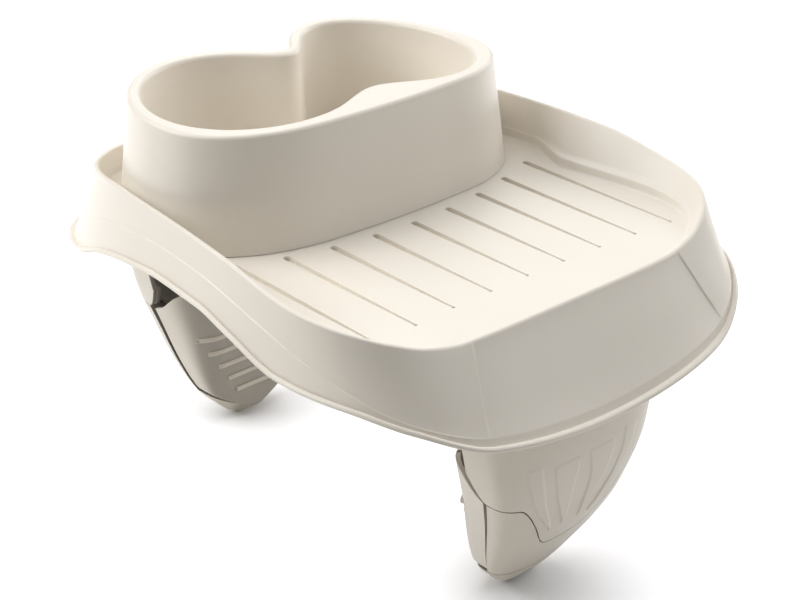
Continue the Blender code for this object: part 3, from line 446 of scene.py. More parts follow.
def baked(target):
    """Turns an object's live modifiers into its plain mesh."""
    graph = bpy.context.evaluated_depsgraph_get()
    made = bpy.data.meshes.new_from_object(target.evaluated_get(graph))
    old = target.data
    target.modifiers.clear()
    target.data = made
    bpy.data.meshes.remove(old)


def combine(target, *tools):
    """Joins or cuts target with (tool, operation) pairs and removes the tools."""
    for tool, operation in tools:
        step = target.modifiers.new(tool.name, "BOOLEAN")
        step.object = tool
        step.operation = operation
        step.solver = "EXACT"
    baked(target)
    for tool, _ in tools:
        bpy.data.objects.remove(tool)


def finished(piece, body, slot, nodes, sharp=38.0):
    """Shades a piece smooth up to its sharp edges and stands it in for its nodes."""
    data = piece.data
    data.validate()
    data.materials.clear()
    data.materials.append(SLOTS[slot]())
    data.polygons.foreach_set("material_index", [0] * len(data.polygons))
    data.shade_smooth()
    data.set_sharp_from_angle(angle=math.radians(sharp))
    weigh = piece.modifiers.new("even_shading", "WEIGHTED_NORMAL")
    weigh.keep_sharp = True
    baked(piece)
    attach(piece, body)
    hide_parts(*nodes)


def mark_painted_shade(piece, turn, outside=lambda middle, normal: 0.0):
    """Marks how much painted shade each face of a leg's moulding takes: wholly on its inside."""
    inside = piece.data.attributes.new("inside", "FLOAT", "FACE")
    back = turn.inverted()
    level = back.to_3x3()
    for face, mark in zip(piece.data.polygons, inside.data):
        middle = back @ face.center
        normal = level @ face.normal
        away = middle - Vector((0.0, LEG_CORE_OUT, 0.0))
        away.z = 0.0
        mark.value = 1.0 if away.dot(normal) < 1e-6 else outside(middle, normal)


# Node trees


class Value:
    """A node's output that takes sums and products, for short maths."""

    def __init__(self, nodes, socket):
        self.nodes = nodes
        self.socket = socket

    def joined(self, operation, first, second):
        return self.nodes.node("ShaderNodeMath", {"operation": operation}, {0: first, 1: second})

    def by(self, operation, other=0.0):
        return self.joined(operation, self, other)

    def __add__(self, other):
        return self.by("ADD", other)

    def __sub__(self, other):
        return self.by("SUBTRACT", other)

    def __mul__(self, other):
        return self.by("MULTIPLY", other)

    def __rsub__(self, other):
        return self.joined("SUBTRACT", other, self)

    __radd__ = __add__
    __rmul__ = __mul__


class Nodes:
    """A node tree being built."""

    def __init__(self, tree):
        self.tree = tree

    def node(self, kind, settings, sockets, output=0):
        """Adds a node: its settings first, then the values or links of its sockets."""
        made = self.tree.nodes.new(kind)
        for name, value in settings.items():
            setattr(made, name, value)
        for name, value in sockets.items():
            self.feed(made.inputs[name], value)
        return Value(self, made.outputs[output])

    def feed(self, socket, value):
        if isinstance(value, Value):
            self.tree.links.new(value.socket, socket)
        else:
            socket.default_value = value


class Graph(Nodes):
    """A Geometry Nodes tree being built, with named inputs."""

    def __init__(self, name, inputs):
        super().__init__(bpy.data.node_groups.new(name, "GeometryNodeTree"))
        add = self.tree.interface.new_socket
        add("Geometry", in_out="INPUT", socket_type="NodeSocketGeometry")
        for label, kind in inputs.items():
            add(label, in_out="INPUT", socket_type="NodeSocket" + kind)
        add("Geometry", in_out="OUTPUT", socket_type="NodeSocketGeometry")
        outputs = self.tree.nodes.new("NodeGroupInput").outputs
        self.given = {label: Value(self, outputs[label]) for label in ("Geometry", *inputs)}

    def finish(self, geometry):
        plain = self.node("GeometryNodeRealizeInstances", {}, {"Geometry": geometry})
        painted = self.node(
            "GeometryNodeSetMaterial", {}, {"Geometry": plain, "Material": self.given["Material"]}
        )
        self.feed(self.tree.nodes.new("NodeGroupOutput").inputs[0], painted)

    def run(self, target, **values):
        """Sets target's inputs by identifier and turns the result into its mesh."""
        step = target.modifiers.new(self.tree.name, "NODES")
        step.node_group = self.tree
        for socket in self.tree.interface.items_tree:
            if socket.in_out == "INPUT" and socket.name in values:
                step[socket.identifier] = values[socket.name]
        baked(target)


def rib_graph():
    """Straight ribs laid one over another on the face of a jaw."""
    graph = Graph("grip_ribs", {
        "Face": "Object", "Material": "Material", "Count": "Int", "Towards": "Vector",
        "Low": "Float", "Pitch": "Float", "Half": "Float", "Growth": "Float",
        "Radius": "Float", "Lift": "Float",
    })
    add, given = graph.node, graph.given
    start = add("ShaderNodeCombineXYZ", {}, {"Z": given["Low"]})
    step = add("ShaderNodeCombineXYZ", {}, {"Z": given["Pitch"]})
    places = add(
        "GeometryNodeMeshLine", {},
        {"Count": given["Count"], "Start Location": start, "Offset": step},
    )
    line = add("GeometryNodeCurvePrimitiveLine", {}, {"Start": (-1, 0, 0), "End": (1, 0, 0)})
    line = add("GeometryNodeResampleCurve", {}, {"Curve": line, "Count": RIB_POINTS})
    half = given["Half"] + add("GeometryNodeInputIndex", {}, {}) * given["Growth"]
    size = add("ShaderNodeCombineXYZ", {}, {"X": half, "Y": 1.0, "Z": 1.0})
    lines = add(
        "GeometryNodeInstanceOnPoints", {}, {"Points": places, "Instance": line, "Scale": size}
    )
    lines = add("GeometryNodeRealizeInstances", {}, {"Geometry": lines})
    face = add("GeometryNodeObjectInfo", {}, {"Object": given["Face"]}, "Geometry")
    hit = add(
        "GeometryNodeRaycast", {},
        {"Target Geometry": face, "Ray Direction": given["Towards"], "Ray Length": 0.3},
        "Hit Position",
    )
    lift = add(
        "ShaderNodeVectorMath", {"operation": "SCALE"},
        {0: given["Towards"], "Scale": given["Lift"]},
    )
    seat = add("ShaderNodeVectorMath", {"operation": "ADD"}, {0: hit, 1: lift})
    lines = add("GeometryNodeSetPosition", {}, {"Geometry": lines, "Position": seat})
    away = (add("GeometryNodeSplineParameter", {}, {}) * 2.0 - 1.0).by("ABSOLUTE")
    end = (away - (1.0 - RIB_END)).by("DIVIDE", RIB_END).by("MAXIMUM", 0.0)
    taper = (1.0 - end * end).by("MAXIMUM", 0.02).by("SQRT")
    lines = add("GeometryNodeSetCurveRadius", {}, {"Curve": lines, "Radius": taper})
    section = add(
        "GeometryNodeCurvePrimitiveCircle", {}, {"Resolution": 20, "Radius": given["Radius"]}
    )
    graph.finish(add(
        "GeometryNodeCurveToMesh", {},
        {"Curve": lines, "Profile Curve": section, "Fill Caps": True},
    ))
    return graph


def spring_graph():
    """A coil of round wire along Y, from the start to the end of its length."""
    graph = Graph("coil_spring", {
        "Material": "Material", "Turns": "Float", "Radius": "Float", "Wire": "Float",
        "Length": "Float", "Start": "Vector",
    })
    add, given = graph.node, graph.given
    coil = add("GeometryNodeCurveSpiral", {}, {
        "Resolution": 36, "Rotations": given["Turns"], "Start Radius": given["Radius"],
        "End Radius": given["Radius"], "Height": given["Length"],
    })
    coil = add("GeometryNodeTransform", {}, {
        "Geometry": coil, "Translation": given["Start"], "Rotation": (-math.pi / 2, 0, 0),
    })
    section = add(
        "GeometryNodeCurvePrimitiveCircle", {}, {"Resolution": 12, "Radius": given["Wire"]}
    )
    graph.finish(add(
        "GeometryNodeCurveToMesh", {},
        {"Curve": coil, "Profile Curve": section, "Fill Caps": True},
    ))
    return graph


def screw_graph():
    """One screw on each point of the mesh."""
    graph = Graph("set_of_screws", {"Screw": "Object", "Material": "Material"})
    screw = graph.node(
        "GeometryNodeObjectInfo", {}, {"Object": graph.given["Screw"]}, "Geometry"
    )
    graph.finish(graph.node(
        "GeometryNodeInstanceOnPoints", {},
        {"Points": graph.given["Geometry"], "Instance": screw},
    ))
    return graph


# Tray


def tray_plan(bearing, half_width, front, back, front_power, back_power):
    """Point of a rounded plan in the direction of a bearing."""
    across, forward = math.sin(bearing), -math.cos(bearing)
    reach, power = (front, front_power) if forward < 0 else (back, back_power)

    def inside(distance):
        y = distance * forward
        width = half_width * (1.0 - y / TAPER_LENGTH)
        share = (abs(distance * across) / width) ** power + (abs(y) / reach) ** power
        return share < 1.0

    distance = bisect(inside, 0.01, 0.25)
    return Vector((distance * across, distance * forward))


def outward_normals(points):
    """Outward directions of a closed plan that runs anticlockwise."""
    made = []
    for i, _ in enumerate(points):
        side = points[(i + 1) % len(points)] - points[i - 1]
        made.append(Vector((side.y, -side.x)).normalized())
    return made


def tray_section(tray, wall, out, edge, edge_out, bearing):
    """The tray's section at one bearing, from the floor's top to its underside."""
    degrees = math.degrees(bearing)
    panel_end = PANEL_BEARINGS[degrees > 180.0]
    degrees = min(degrees, 360.0 - degrees)
    panel_share = 1.0 - smooth(panel_end - PANEL_EDGE, panel_end + PANEL_EDGE, degrees)
    rise = along(WALL_RISE, degrees)
    top = FLOOR_Z + rise
    edge_z = FLOOR_Z - along(EDGE_DROP, degrees)
    full_inset = tray.skin + FOOT_INSET_PER_RISE * rise
    inset = full_inset + (FOOT_INSET_LEAST - full_inset) * smooth(*BESIDE_WELL, degrees)
    inset = max(inset, tray.top_width * 1.25)
    spare = inset - tray.top_width
    step = min(STEP_HEIGHT, 0.3 * rise)
    ledge = inset - min(STEP_WIDTH, 0.34 * spare)
    ledge_z = FLOOR_Z + step * 1.15
    crest = tray.front_round + (tray.edge_round - tray.front_round) * smooth(0.0, 0.004, rise)
    flare = (edge - wall).length / (top - edge_z)
    lean = spare / max(rise, 0.0001)
    fold = max((2 * tray.skin + 0.0006 - tray.top_width) / (flare + lean), tray.skin)
    low, high = CREASE_BEARINGS[:2], CREASE_BEARINGS[2:]
    proud = tray.crease_proud * smooth(*low, degrees) * (1.0 - smooth(*high, degrees))

    def inwards(amount, z):
        return Vector((*(wall - out * amount), z))

    def from_edge(amount, up):
        return Vector((*(edge + edge_out * amount), edge_z + up))

    def on_skirt(share, amount):
        panel = panel_share * smooth(0.02, 0.12, share) * (1.0 - smooth(0.70, 0.92, share))
        place = wall.lerp(edge, share) + out * (amount - tray.panel_deep * panel)
        return Vector((*place, top + (edge_z - top) * share))

    bead = []
    for i in range(13):
        angle = math.pi * (0.5 - i / 12)
        radius = tray.bead_height / 2
        bead.append((from_edge(tray.bead_out * math.cos(angle), radius * (1 + math.sin(angle))), 0))
    crease = along(CREASE_SHARE, degrees)
    panel_line = [(on_skirt(crease * i / 8, 0.0), 0) for i in range(1, 8)]
    under_line = [
        (on_skirt(share, proud - (proud * 0.5 + 0.0004) * smooth(crease, 0.95, share)), 0)
        for share in (crease + (0.95 - crease) * i / 5 for i in range(1, 5))
    ]
    return rounded([
        (inwards(inset + 0.0025, FLOOR_Z), 0),
        (inwards(inset, FLOOR_Z), 0.0012),
        (inwards(inset - min(0.0008, 0.1 * spare), FLOOR_Z + step), 0.0008),
        (inwards(ledge, ledge_z), 0.0014),
        (inwards(tray.top_width, top), tray.edge_round),
        (inwards(0.0, top), crest),
        *panel_line,
        (on_skirt(crease, 0.0), 0),
        (on_skirt(crease + 0.012, proud), 0),
        *under_line,
        (on_skirt(0.95, proud * 0.5 - 0.0004), 0),
        *bead,
        (from_edge(-tray.skin, 0.0), 0.0004),
        (on_skirt(fold / (top - edge_z), -tray.skin), 0.0010),
        (inwards(ledge - tray.skin, ledge_z - tray.skin), 0.0010),
        (inwards(inset - tray.skin, FLOOR_Z - tray.skin), 0),
    ])


def tray_bearings(tray):
    """Even bearings, with closer ones where the front panel's edges run."""
    kept = [360.0 * i / tray.stations for i in range(tray.stations)]
    for end in (PANEL_BEARINGS[0], 360.0 - PANEL_BEARINGS[1]):
        kept = [a for a in kept if abs(a - end) > 1.0]
        kept += [end + step * PANEL_EDGE for step in (-4, -1, 0, 1, 4)]
    return [math.radians(a) for a in sorted(kept)]


def tray_body(tray):
    bearings = tray_bearings(tray)
    wall = [
        tray_plan(b, WALL_HALF_WIDTH, WALL_FRONT, WALL_BACK, WALL_FRONT_POWER, WALL_BACK_POWER)
        for b in bearings
    ]
    edge = [
        tray_plan(b, EDGE_HALF_WIDTH, EDGE_REACH, EDGE_REACH, EDGE_POWER, EDGE_POWER)
        for b in bearings
    ]
    sections = [
        tray_section(tray, *station)
        for station in zip(wall, outward_normals(wall), edge, outward_normals(edge), bearings)
    ]
    mesh = bmesh.new()
    add_loft(mesh, list(zip(*sections)))
    return solid("drain_tray", mesh)


def groove_outline(start, end, grown):
    """Half widths along a groove: round and wide at its start, fine, then a dot."""
    points = [(start - grown, 0.0)]
    for i in range(1, 9):
        angle = math.pi / 2 * i / 8
        wide = GROOVE_WIDE + grown
        points.append((start + GROOVE_WIDE - wide * math.cos(angle), wide * math.sin(angle)))
    points.append((end - 4 * GROOVE_DOT, GROOVE_FINE + grown))
    for i in range(11):
        angle = math.pi * (0.2 + 0.8 * i / 10)
        dot = GROOVE_DOT + grown
        points.append((end - GROOVE_DOT - dot * math.cos(angle), dot * math.sin(angle)))
    return points


def grooves(tray):
    """Cutters for the drain grooves, with a small chamfer at the floor."""
    mesh = bmesh.new()
    for i in range(tray.grooves):
        place = i - (tray.grooves - 1) / 2
        start = -(GROOVE_START_Y + GROOVE_START_BOW * place**2)
        end = -(GROOVE_END_Y - GROOVE_END_BOW * place**2)
        rings = []
        edge = tray.groove_edge
        for grown, up in ((0.0, -tray.groove_deep), (0.0, -edge), (2 * edge, edge)):
            half = groove_outline(start, end, grown)
            line = half + [(y, -width) for y, width in reversed(half[1:-1])]
            middle = place * tray.groove_pitch
            rings.append([Vector((middle + x, -y, FLOOR_Z + up)) for y, x in line])
        add_loft(mesh, rings)
    return solid("groove_tool", mesh)


def leg_screw_places():
    return [
        turn @ Vector((x, LEG_SCREW_OUT, 0.0))
        for turn in LEGS.values() for x in (-LEG_SCREW_X, LEG_SCREW_X)
    ]


class HOLDER_OT_tray(bpy.types.Operator):
    """Moulds the tray: grooved floor, wall, flared skirt, bead and screw bosses"""

    bl_idname = "holder.tray"
    bl_label = "Build Tray"

    def execute(self, context):
        tray = context.scene.holder_tray
        body = tray_body(tray)
        underside = FLOOR_Z - tray.skin
        foot = PLATE_Z + GAP
        places = leg_screw_places()
        holes = bmesh.new()
        section = countersunk(GAP, SCREW_RADIUS + GAP, 0.001)
        for place in well_post_places(context.scene.holder_well):
            add_countersunk(holes, place, section, underside)
        combine(
            body,
            (rods("bosses", places, foot, underside + 0.001, LEG_BOSS_RADIUS), "UNION"),
            (rods("pilots", places, foot - 0.001, underside - 0.0008, SCREW_RADIUS + GAP),
             "DIFFERENCE"),
            (solid("well_holes", holes), "DIFFERENCE"),
            (grooves(tray), "DIFFERENCE"),
        )
        finished(body, "frame", "ivory_plastic", ["tray"])
        return {"FINISHED"}


# Cup well


def oval_distance(x, y, half, power):
    """Distance outside an oval, close to true near its edge."""
    across, up = abs(x) / half[0], abs(y) / half[1]
    size = (across**power + up**power) ** (1.0 / power)
    if size < 1e-6:
        return -min(half)
    slope_x = (across / size) ** (power - 1.0) / half[0]
    slope_y = (up / size) ** (power - 1.0) / half[1]
    return (size - 1.0) / math.hypot(slope_x, slope_y)


def blended(one, other, blend):
    """Distance outside two shapes run together over a blend."""
    share = max(blend - abs(one - other), 0.0) / blend
    return min(one, other) - share * share * blend / 4.0


def cups_distance(x, y, blend):
    y -= CUP_Y
    narrow = 1.0 - y / CUP_LEAN
    big = oval_distance((x - BIG_CUP_X) / narrow, y, BIG_CUP_HALF, 2.0)
    small = oval_distance((x - SMALL_CUP_X) / narrow, y, SMALL_CUP_HALF, 2.0)
    return blended(big, small, blend)


def well_distance(x, y):
    rim_width = bpy.context.scene.holder_well.rim_width
    cups = cups_distance(x, y, WELL_BLEND) - rim_width
    bar = oval_distance(x - FRONT_BAR[0], y - FRONT_BAR[1], FRONT_BAR_HALF, FRONT_BAR_POWER)
    return blended(cups, bar, BAR_BLEND)


def cups_inside(x, y):
    return cups_distance(x, y, CUP_BLEND)


def well_reach(bearing, distance, grown):
    """How far from WELL_CENTRE the outline, grown by an amount, lies at a bearing."""
    across, up = math.cos(bearing), math.sin(bearing)

    def inside(reach):
        return distance(WELL_CENTRE[0] + reach * across, WELL_CENTRE[1] + reach * up) < grown

    return bisect(inside, 0.012, 0.14)


def well_point(bearing, reach, z):
    x = WELL_CENTRE[0] + reach * math.cos(bearing)
    return Vector((x, WELL_CENTRE[1] + reach * math.sin(bearing), z))


def well_ring(distance, grown, z, stations):
    bearings = [2 * math.pi * i / stations for i in range(stations)]
    return [well_point(b, well_reach(b, distance, grown), z) for b in bearings]


def well_post_places(well):
    """Middles of the hollow between the well's two walls, at the posts' bearings."""
    made = []
    for degrees in WELL_POST_BEARINGS:
        bearing = math.radians(degrees)
        outer = well_reach(bearing, well_distance, WELL_DRAFT - well.skin)
        inner = well_reach(bearing, cups_inside, well.skin - CUP_DRAFT)
        made.append(well_point(bearing, (outer + inner) / 2, 0.0))
    return made


def quarter(steps=6):
    return [math.pi / 2 * i / steps for i in range(steps + 1)]


def well_body(well):
    foot = FLOOR_Z + GAP
    cup_floor = foot + GAP + well.skin
    shoulder = well.rim_z - well.rim_round
    hollow_top = well.rim_z - well.skin - 0.0008
    spread = WELL_DRAFT + well.foot_out
    fillet, rim = well.cup_fillet, well.rim_round
    inner = [(-CUP_DRAFT - fillet - 0.002, cup_floor)]
    inner += [
        (-CUP_DRAFT - fillet * (1 - math.sin(a)), cup_floor + fillet * (1 - math.cos(a)))
        for a in quarter()
    ]
    inner += [(rim * (1 - math.cos(a)), shoulder + rim * math.sin(a)) for a in quarter()]
    outer = [(-rim * (1 - math.cos(a)), shoulder + rim * math.sin(a)) for a in reversed(quarter())]
    outer += [
        (WELL_DRAFT, foot + well.foot_height),
        (spread, foot),
        (WELL_DRAFT - well.skin, foot),
        (-well.skin, hollow_top),
    ]
    under = [(well.skin, hollow_top), (well.skin - CUP_DRAFT, foot + GAP)]
    mesh = bmesh.new()
    rings = [well_ring(cups_inside, grown, z, well.stations) for grown, z in inner]
    rings += [well_ring(well_distance, grown, z, well.stations) for grown, z in outer]
    rings += [well_ring(cups_inside, grown, z, well.stations) for grown, z in under]
    add_loft(mesh, rings)
    return solid("two_cup_well", mesh)


class HOLDER_OT_well(bpy.types.Operator):
    """Moulds the double cup well with its rounded rim and the posts inside"""

    bl_idname = "holder.well"
    bl_label = "Build Cup Well"

    def execute(self, context):
        well = context.scene.holder_well
        body = well_body(well)
        foot = FLOOR_Z + GAP
        places = well_post_places(well)
        deep = foot + WELL_POST_HEIGHT - 0.002
        combine(
            body,
            (rods("posts", places, foot, foot + WELL_POST_HEIGHT, WELL_POST_RADIUS), "UNION"),
            (rods("post_holes", places, foot - 0.001, deep, SCREW_RADIUS + GAP), "DIFFERENCE"),
        )
        finished(body, "frame", "ivory_plastic", ["cup_well"])
        return {"FINISHED"}


# Legs


def leg_half_width(z):
    return along(LEG_HALF_WIDTH, z)


def leg_out(z):
    return JAW_FACE_OUT + along(LEG_FACE, z)


def leg_corner(z):
    return JAW_FACE_OUT + along(LEG_CORNER, z)


def jaw_back(z):
    """Where the jaw's side walls end, a slot's width from the cover."""
    return leg_corner(z) - JAW_GAP_LOW - JAW_GAP_SLOPE * max(z - JAW_GAP_FROM, 0.0)


def leg_bulge(across):
    """How far out the rounded section lies at a share across, from 0 to 1."""
    return max(1.0 - abs(across) ** LEG_SECTION_POWER, 0.0) ** (1.0 / LEG_SECTION_POWER)


def mirrored(shares):
    """Shares from the middle out to one side, with the other side put before them."""
    return [-share for share in reversed(shares[1:])] + shares


def leg_point(share, z, inset):
    """Point of the leg's outside at a share across, inset by a skin.

    Shares up to 1 run over the rounded outside, and from 1 to 2 down the flat side.
    """
    side = max(abs(share) - 1.0, 0.0)
    across = max(min(share, 1.0), -1.0)
    corner = leg_corner(z)
    bulge = (leg_out(z) - inset - corner) * leg_bulge(across)
    out = corner + bulge - (corner - SHELL_EDGE_OUT) * side
    return Vector(((leg_half_width(z) - inset) * across, out, z))


def leg_shares(tongue, steps):
    """Shares across the outside: even over the tongue, then closer round the corners."""
    inner = [tongue * i / steps for i in range(steps + 1)]
    start = math.asin(tongue ** (LEG_SECTION_POWER / 2))
    turns = max(steps // 4, 6)
    rest = [start + (math.pi / 2 - start) * i / turns for i in range(1, turns + 1)]
    return mirrored(inner + [math.sin(a) ** (2.0 / LEG_SECTION_POWER) for a in rest])


def tongue_seam(share, tongue):
    """Height of the seam between shell and cover at a share across."""
    across = min(abs(share) / tongue, 1.0)
    flank = smooth(0.0, 1.0, across**TONGUE_POWER)
    beside = min(max((abs(share) - tongue) / (1.0 - tongue), 0.0), 1.0)
    side = max(abs(share) - 1.0, 0.0)
    return (
        TONGUE_TIP_Z + (SEAM_SIDE_Z - TONGUE_TIP_Z) * flank
        + (SEAM_CORNER_Z - SEAM_SIDE_Z) * beside + SEAM_EDGE_RISE * side**1.7
    )


def foot_seam(share):
    return FOOT_SEAM_Z + FOOT_SEAM_RISE * share * share


def petal_relief(legs, x, z):
    """How far the petals stand proud at a place on the tongue."""
    most = 0.0
    if not PETALS[0][0][0] - legs.petal_edge < z < PETALS[1][-1][0] + legs.petal_edge:
        return most
    across = abs(x - PETALS_OFF)
    for stations in PETALS:
        low, high = stations[0][0], stations[-1][0]
        near = along([(at, inner) for at, inner, _ in stations], z)
        far = along([(at, outer) for at, _, outer in stations], z)
        inside = min(z - low, high - z, across - near, far - across)
        flat = 1.0 - 0.6 * smooth(low, high, z)
        most = max(most, flat * smooth(-legs.petal_edge / 2, legs.petal_edge / 2, inside))
    return legs.petal_proud * most


def shell_body(legs, turn):
    """The casing with its tongue, and the lap that the cover's edge snaps over."""
    tongue = TONGUE_SHARE - TONGUE_SIDE_GAP
    sides = [1.0 + i / 10 for i in range(1, 11)]
    middle = leg_shares(tongue, 64)
    shares = [-share for share in reversed(sides)] + middle + sides
    under = legs.skin + LAP_GAP
    whole = under + SPIGOT_SKIN
    lift = LAP_GAP * 1.2
    turned = legs.seam_round
    rises = 170
    outside, inside = [], []

    def add_row(height, outer_inset, inner_inset, lap=0.0, rise=0.0, relief=False):
        outer, inner = [], []
        for share in shares:
            kept = 1.0 - 0.9 * smooth(0.88, 1.0, abs(share))
            seam = tongue_seam(share, tongue) + lift
            low = seam + height - lap * kept
            z = low + (PLATE_Z - 0.0004 - low) * rise
            proud = 0.0
            if relief and abs(share) < 1.0:
                proud = petal_relief(legs, share * leg_half_width(z), z)
            thinned = inner_inset
            if relief:
                thinned += (legs.skin - inner_inset) * smooth(0.0002, 0.0025, z - seam)
            outer.append(leg_point(share, z, outer_inset - proud))
            inner.append(leg_point(share, z, thinned))
        outside.append(outer)
        inside.append(inner)

    add_row(0.0, under, whole, lap=SPIGOT_LAP)
    add_row(0.0, under, whole)
    add_row(0.0, turned, whole)
    add_row(turned * 0.3, turned * 0.3, whole)
    for i in range(rises + 1):
        add_row(turned, 0.0, whole, rise=i / rises, relief=True)
    mesh = bmesh.new()
    add_sheet(mesh, outside, inside)
    return solid("leg_shell_body", mesh, turn)


def mounting_plate(legs, turn):
    mesh = bmesh.new()
    rings = []
    for z in (PLATE_Z - PLATE_SKIN, PLATE_Z):
        ring = [leg_point(PLATE_SHARE * (i / 12 - 1.0), z, legs.skin / 2) for i in range(25)]
        ring.append(Vector((PLATE_HALF_WIDTH, PLATE_FRONT_OUT, z)))
        ring.append(Vector((-PLATE_HALF_WIDTH, PLATE_FRONT_OUT, z)))
        rings.append(ring)
    add_loft(mesh, rings)
    return solid("mounting_plate", mesh, turn)


def spring_seat(legs):
    """Where the spring's flat seat inside the shell lies."""
    return leg_out(SPRING_Z - SPRING_PAD_RADIUS) - legs.skin - GAP


class HOLDER_OT_shells(bpy.types.Operator):
    """Moulds the two leg shells with their petalled tongues and mounting plates"""

    bl_idname = "holder.shells"
    bl_label = "Build Leg Shells"

    def execute(self, context):
        legs = context.scene.holder_legs
        for side, turn in LEGS.items():
            shell = shell_body(legs, turn)
            holes = [Vector((x, LEG_SCREW_OUT, 0)) for x in (-LEG_SCREW_X, LEG_SCREW_X)]
            low, high, radius = PLATE_Z - 0.01, PLATE_Z + 0.01, SCREW_RADIUS + GAP
            seat = Vector((0, spring_seat(legs), SPRING_Z))
            root = seat + Vector((0, SPRING_PAD, 0))
            tip = seat - Vector((0, SPRING_PEG_LENGTH, 0))
            combine(
                shell,
                (mounting_plate(legs, turn), "UNION"),
                (rods("plate_holes", holes, low, high, radius, turn), "DIFFERENCE"),
                (rod("spring_pad", root, seat, SPRING_PAD_RADIUS, turn), "UNION"),
                (rod("spring_peg", root, tip, SPRING_PEG_RADIUS, turn), "UNION"),
            )
            shell.name = side + "_shell"
            mark_painted_shade(shell, turn)
            finished(shell, "frame", "ivory_plastic", [side + "_leg_shell"], 50.0)
        return {"FINISHED"}


def on_axis(x):
    """Point of the hinge's axis."""
    return Vector((x, PIN_OUT, PIN_Z))


def cover_body(legs, turn):
    shares = leg_shares(TONGUE_SHARE, 48)
    turned = legs.seam_round
    rises = 60
    heights = [(0.0, turned), (turned * 0.3, turned * 0.3)]
    heights += [(None, i / rises) for i in range(rises + 1)]
    heights += [(-turned * 0.3, turned * 0.3), (0.0, turned)]
    outside, inside = [], []
    for row, (height, amount) in enumerate(heights):
        outer, inner = [], []
        for share in shares:
            low, high = foot_seam(share), tongue_seam(share, TONGUE_SHARE)
            if height is None:
                z = low + turned + (high - low - 2 * turned) * amount
                inset = 0.0
            else:
                z = (low if row < 2 else high) + height
                inset = amount
            outer.append(leg_point(share, z, inset))
            inner.append(leg_point(share, z, legs.skin))
        outside.append(outer)
        inside.append(inner)
    mesh = bmesh.new()
    add_sheet(mesh, outside, inside)
    return solid("leg_cover_body", mesh, turn)


class HOLDER_OT_covers(bpy.types.Operator):
    """Moulds the two leg covers with the lugs that hold the jaws' pins"""

    bl_idname = "holder.covers"
    bl_label = "Build Leg Covers"

    def execute(self, context):
        legs = context.scene.holder_legs
        for side, turn in LEGS.items():
            cover = cover_body(legs, turn)
            arms, rounds = bmesh.new(), bmesh.new()
            for hand in (-1, 1):
                lug = ((0, KNUCKLE_RADIUS), (1, KNUCKLE_RADIUS))
                add_rod(rounds, on_axis(hand * LUG_FROM), on_axis(hand * LUG_TO), lug)
                low, high = sorted((hand * LUG_FROM, hand * LUG_TO))
                wall = leg_out(PIN_Z - KNUCKLE_RADIUS) - legs.skin * 0.4
                add_box(
                    arms, (low + 0.0001, PIN_OUT, PIN_Z - KNUCKLE_RADIUS * 0.95),
                    (high - 0.0001, wall, PIN_Z + 0.0005),
                )
            left, right = on_axis(-LUG_TO - 0.002), on_axis(LUG_TO + 0.002)
            combine(
                cover,
                (solid("lug_arms", arms, turn), "UNION"),
                (solid("lugs", rounds, turn), "UNION"),
                (rod("lug_bore", left, right, PIN_RADIUS + GAP, turn), "DIFFERENCE"),
            )
            cover.name = side + "_cover"
            mark_painted_shade(cover, turn)
            finished(cover, "frame", "ivory_plastic", [side + "_leg_cover"])
        return {"FINISHED"}


def jaw_foot(share):
    return JAW_FOOT_Z + JAW_FOOT_RISE * share * share


def jaw_half_width(z):
    return leg_half_width(z) - JAW_SIDE_IN


def foot_room():
    """The space in the foot tip where the jaw's foot stands."""
    mesh = bmesh.new()
    seam_top = FOOT_SEAM_Z + FOOT_SEAM_RISE
    lowest_behind = jaw_foot(FOOT_ROOM_SHARE)
    behind_face = JAW_FACE_OUT + FOOT_ROOM_DEEP + JAW_FOOT_CLEARANCE
    back = jaw_back(seam_top) + JAW_FOOT_CLEARANCE
    rings = []
    for y, lowest in (
        (JAW_FACE_OUT - 0.008, 0.0), (behind_face, 0.0),
        (behind_face + 0.002, lowest_behind), (back, lowest_behind),
    ):
        ring = [Vector((-0.04, y, seam_top + 0.01))]
        for i in range(49):
            share = -1.0 + i / 24
            z = max(jaw_foot(share), lowest) - JAW_FOOT_CLEARANCE
            ring.append(Vector((jaw_half_width(z) * share * 1.06, y, z)))
        ring.append(Vector((0.04, y, seam_top + 0.01)))
        rings.append(ring)
    add_loft(mesh, rings)
    return mesh


def foot_body(turn):
    turns = [math.pi / 2 * 0.97 * i / 30 for i in range(31)]
    shares = mirrored([math.sin(a) ** (2 / LEG_SECTION_POWER) for a in turns])

    def face_point(share, z):
        tuck = FOOT_TUCK * (1.0 - smooth(0.0, FOOT_TUCK_HEIGHT, z))
        corner = leg_corner(z)
        out = corner + (FOOT_FACE_OUT + tuck - corner) * leg_bulge(share)
        return Vector((leg_half_width(z) * share, out, z))

    outside, inside = [], []
    for i in range(25):
        rise = (i / 24) ** 1.5
        heights = [(foot_seam(share) - GAP) * rise for share in shares]
        outside.append([leg_point(share, z, 0.0) for share, z in zip(shares, heights)])
        inside.append([face_point(share, z) for share, z in zip(shares, heights)])
    mesh = bmesh.new()
    add_sheet(mesh, outside, inside)
    return solid("foot_tip_body", mesh, turn)


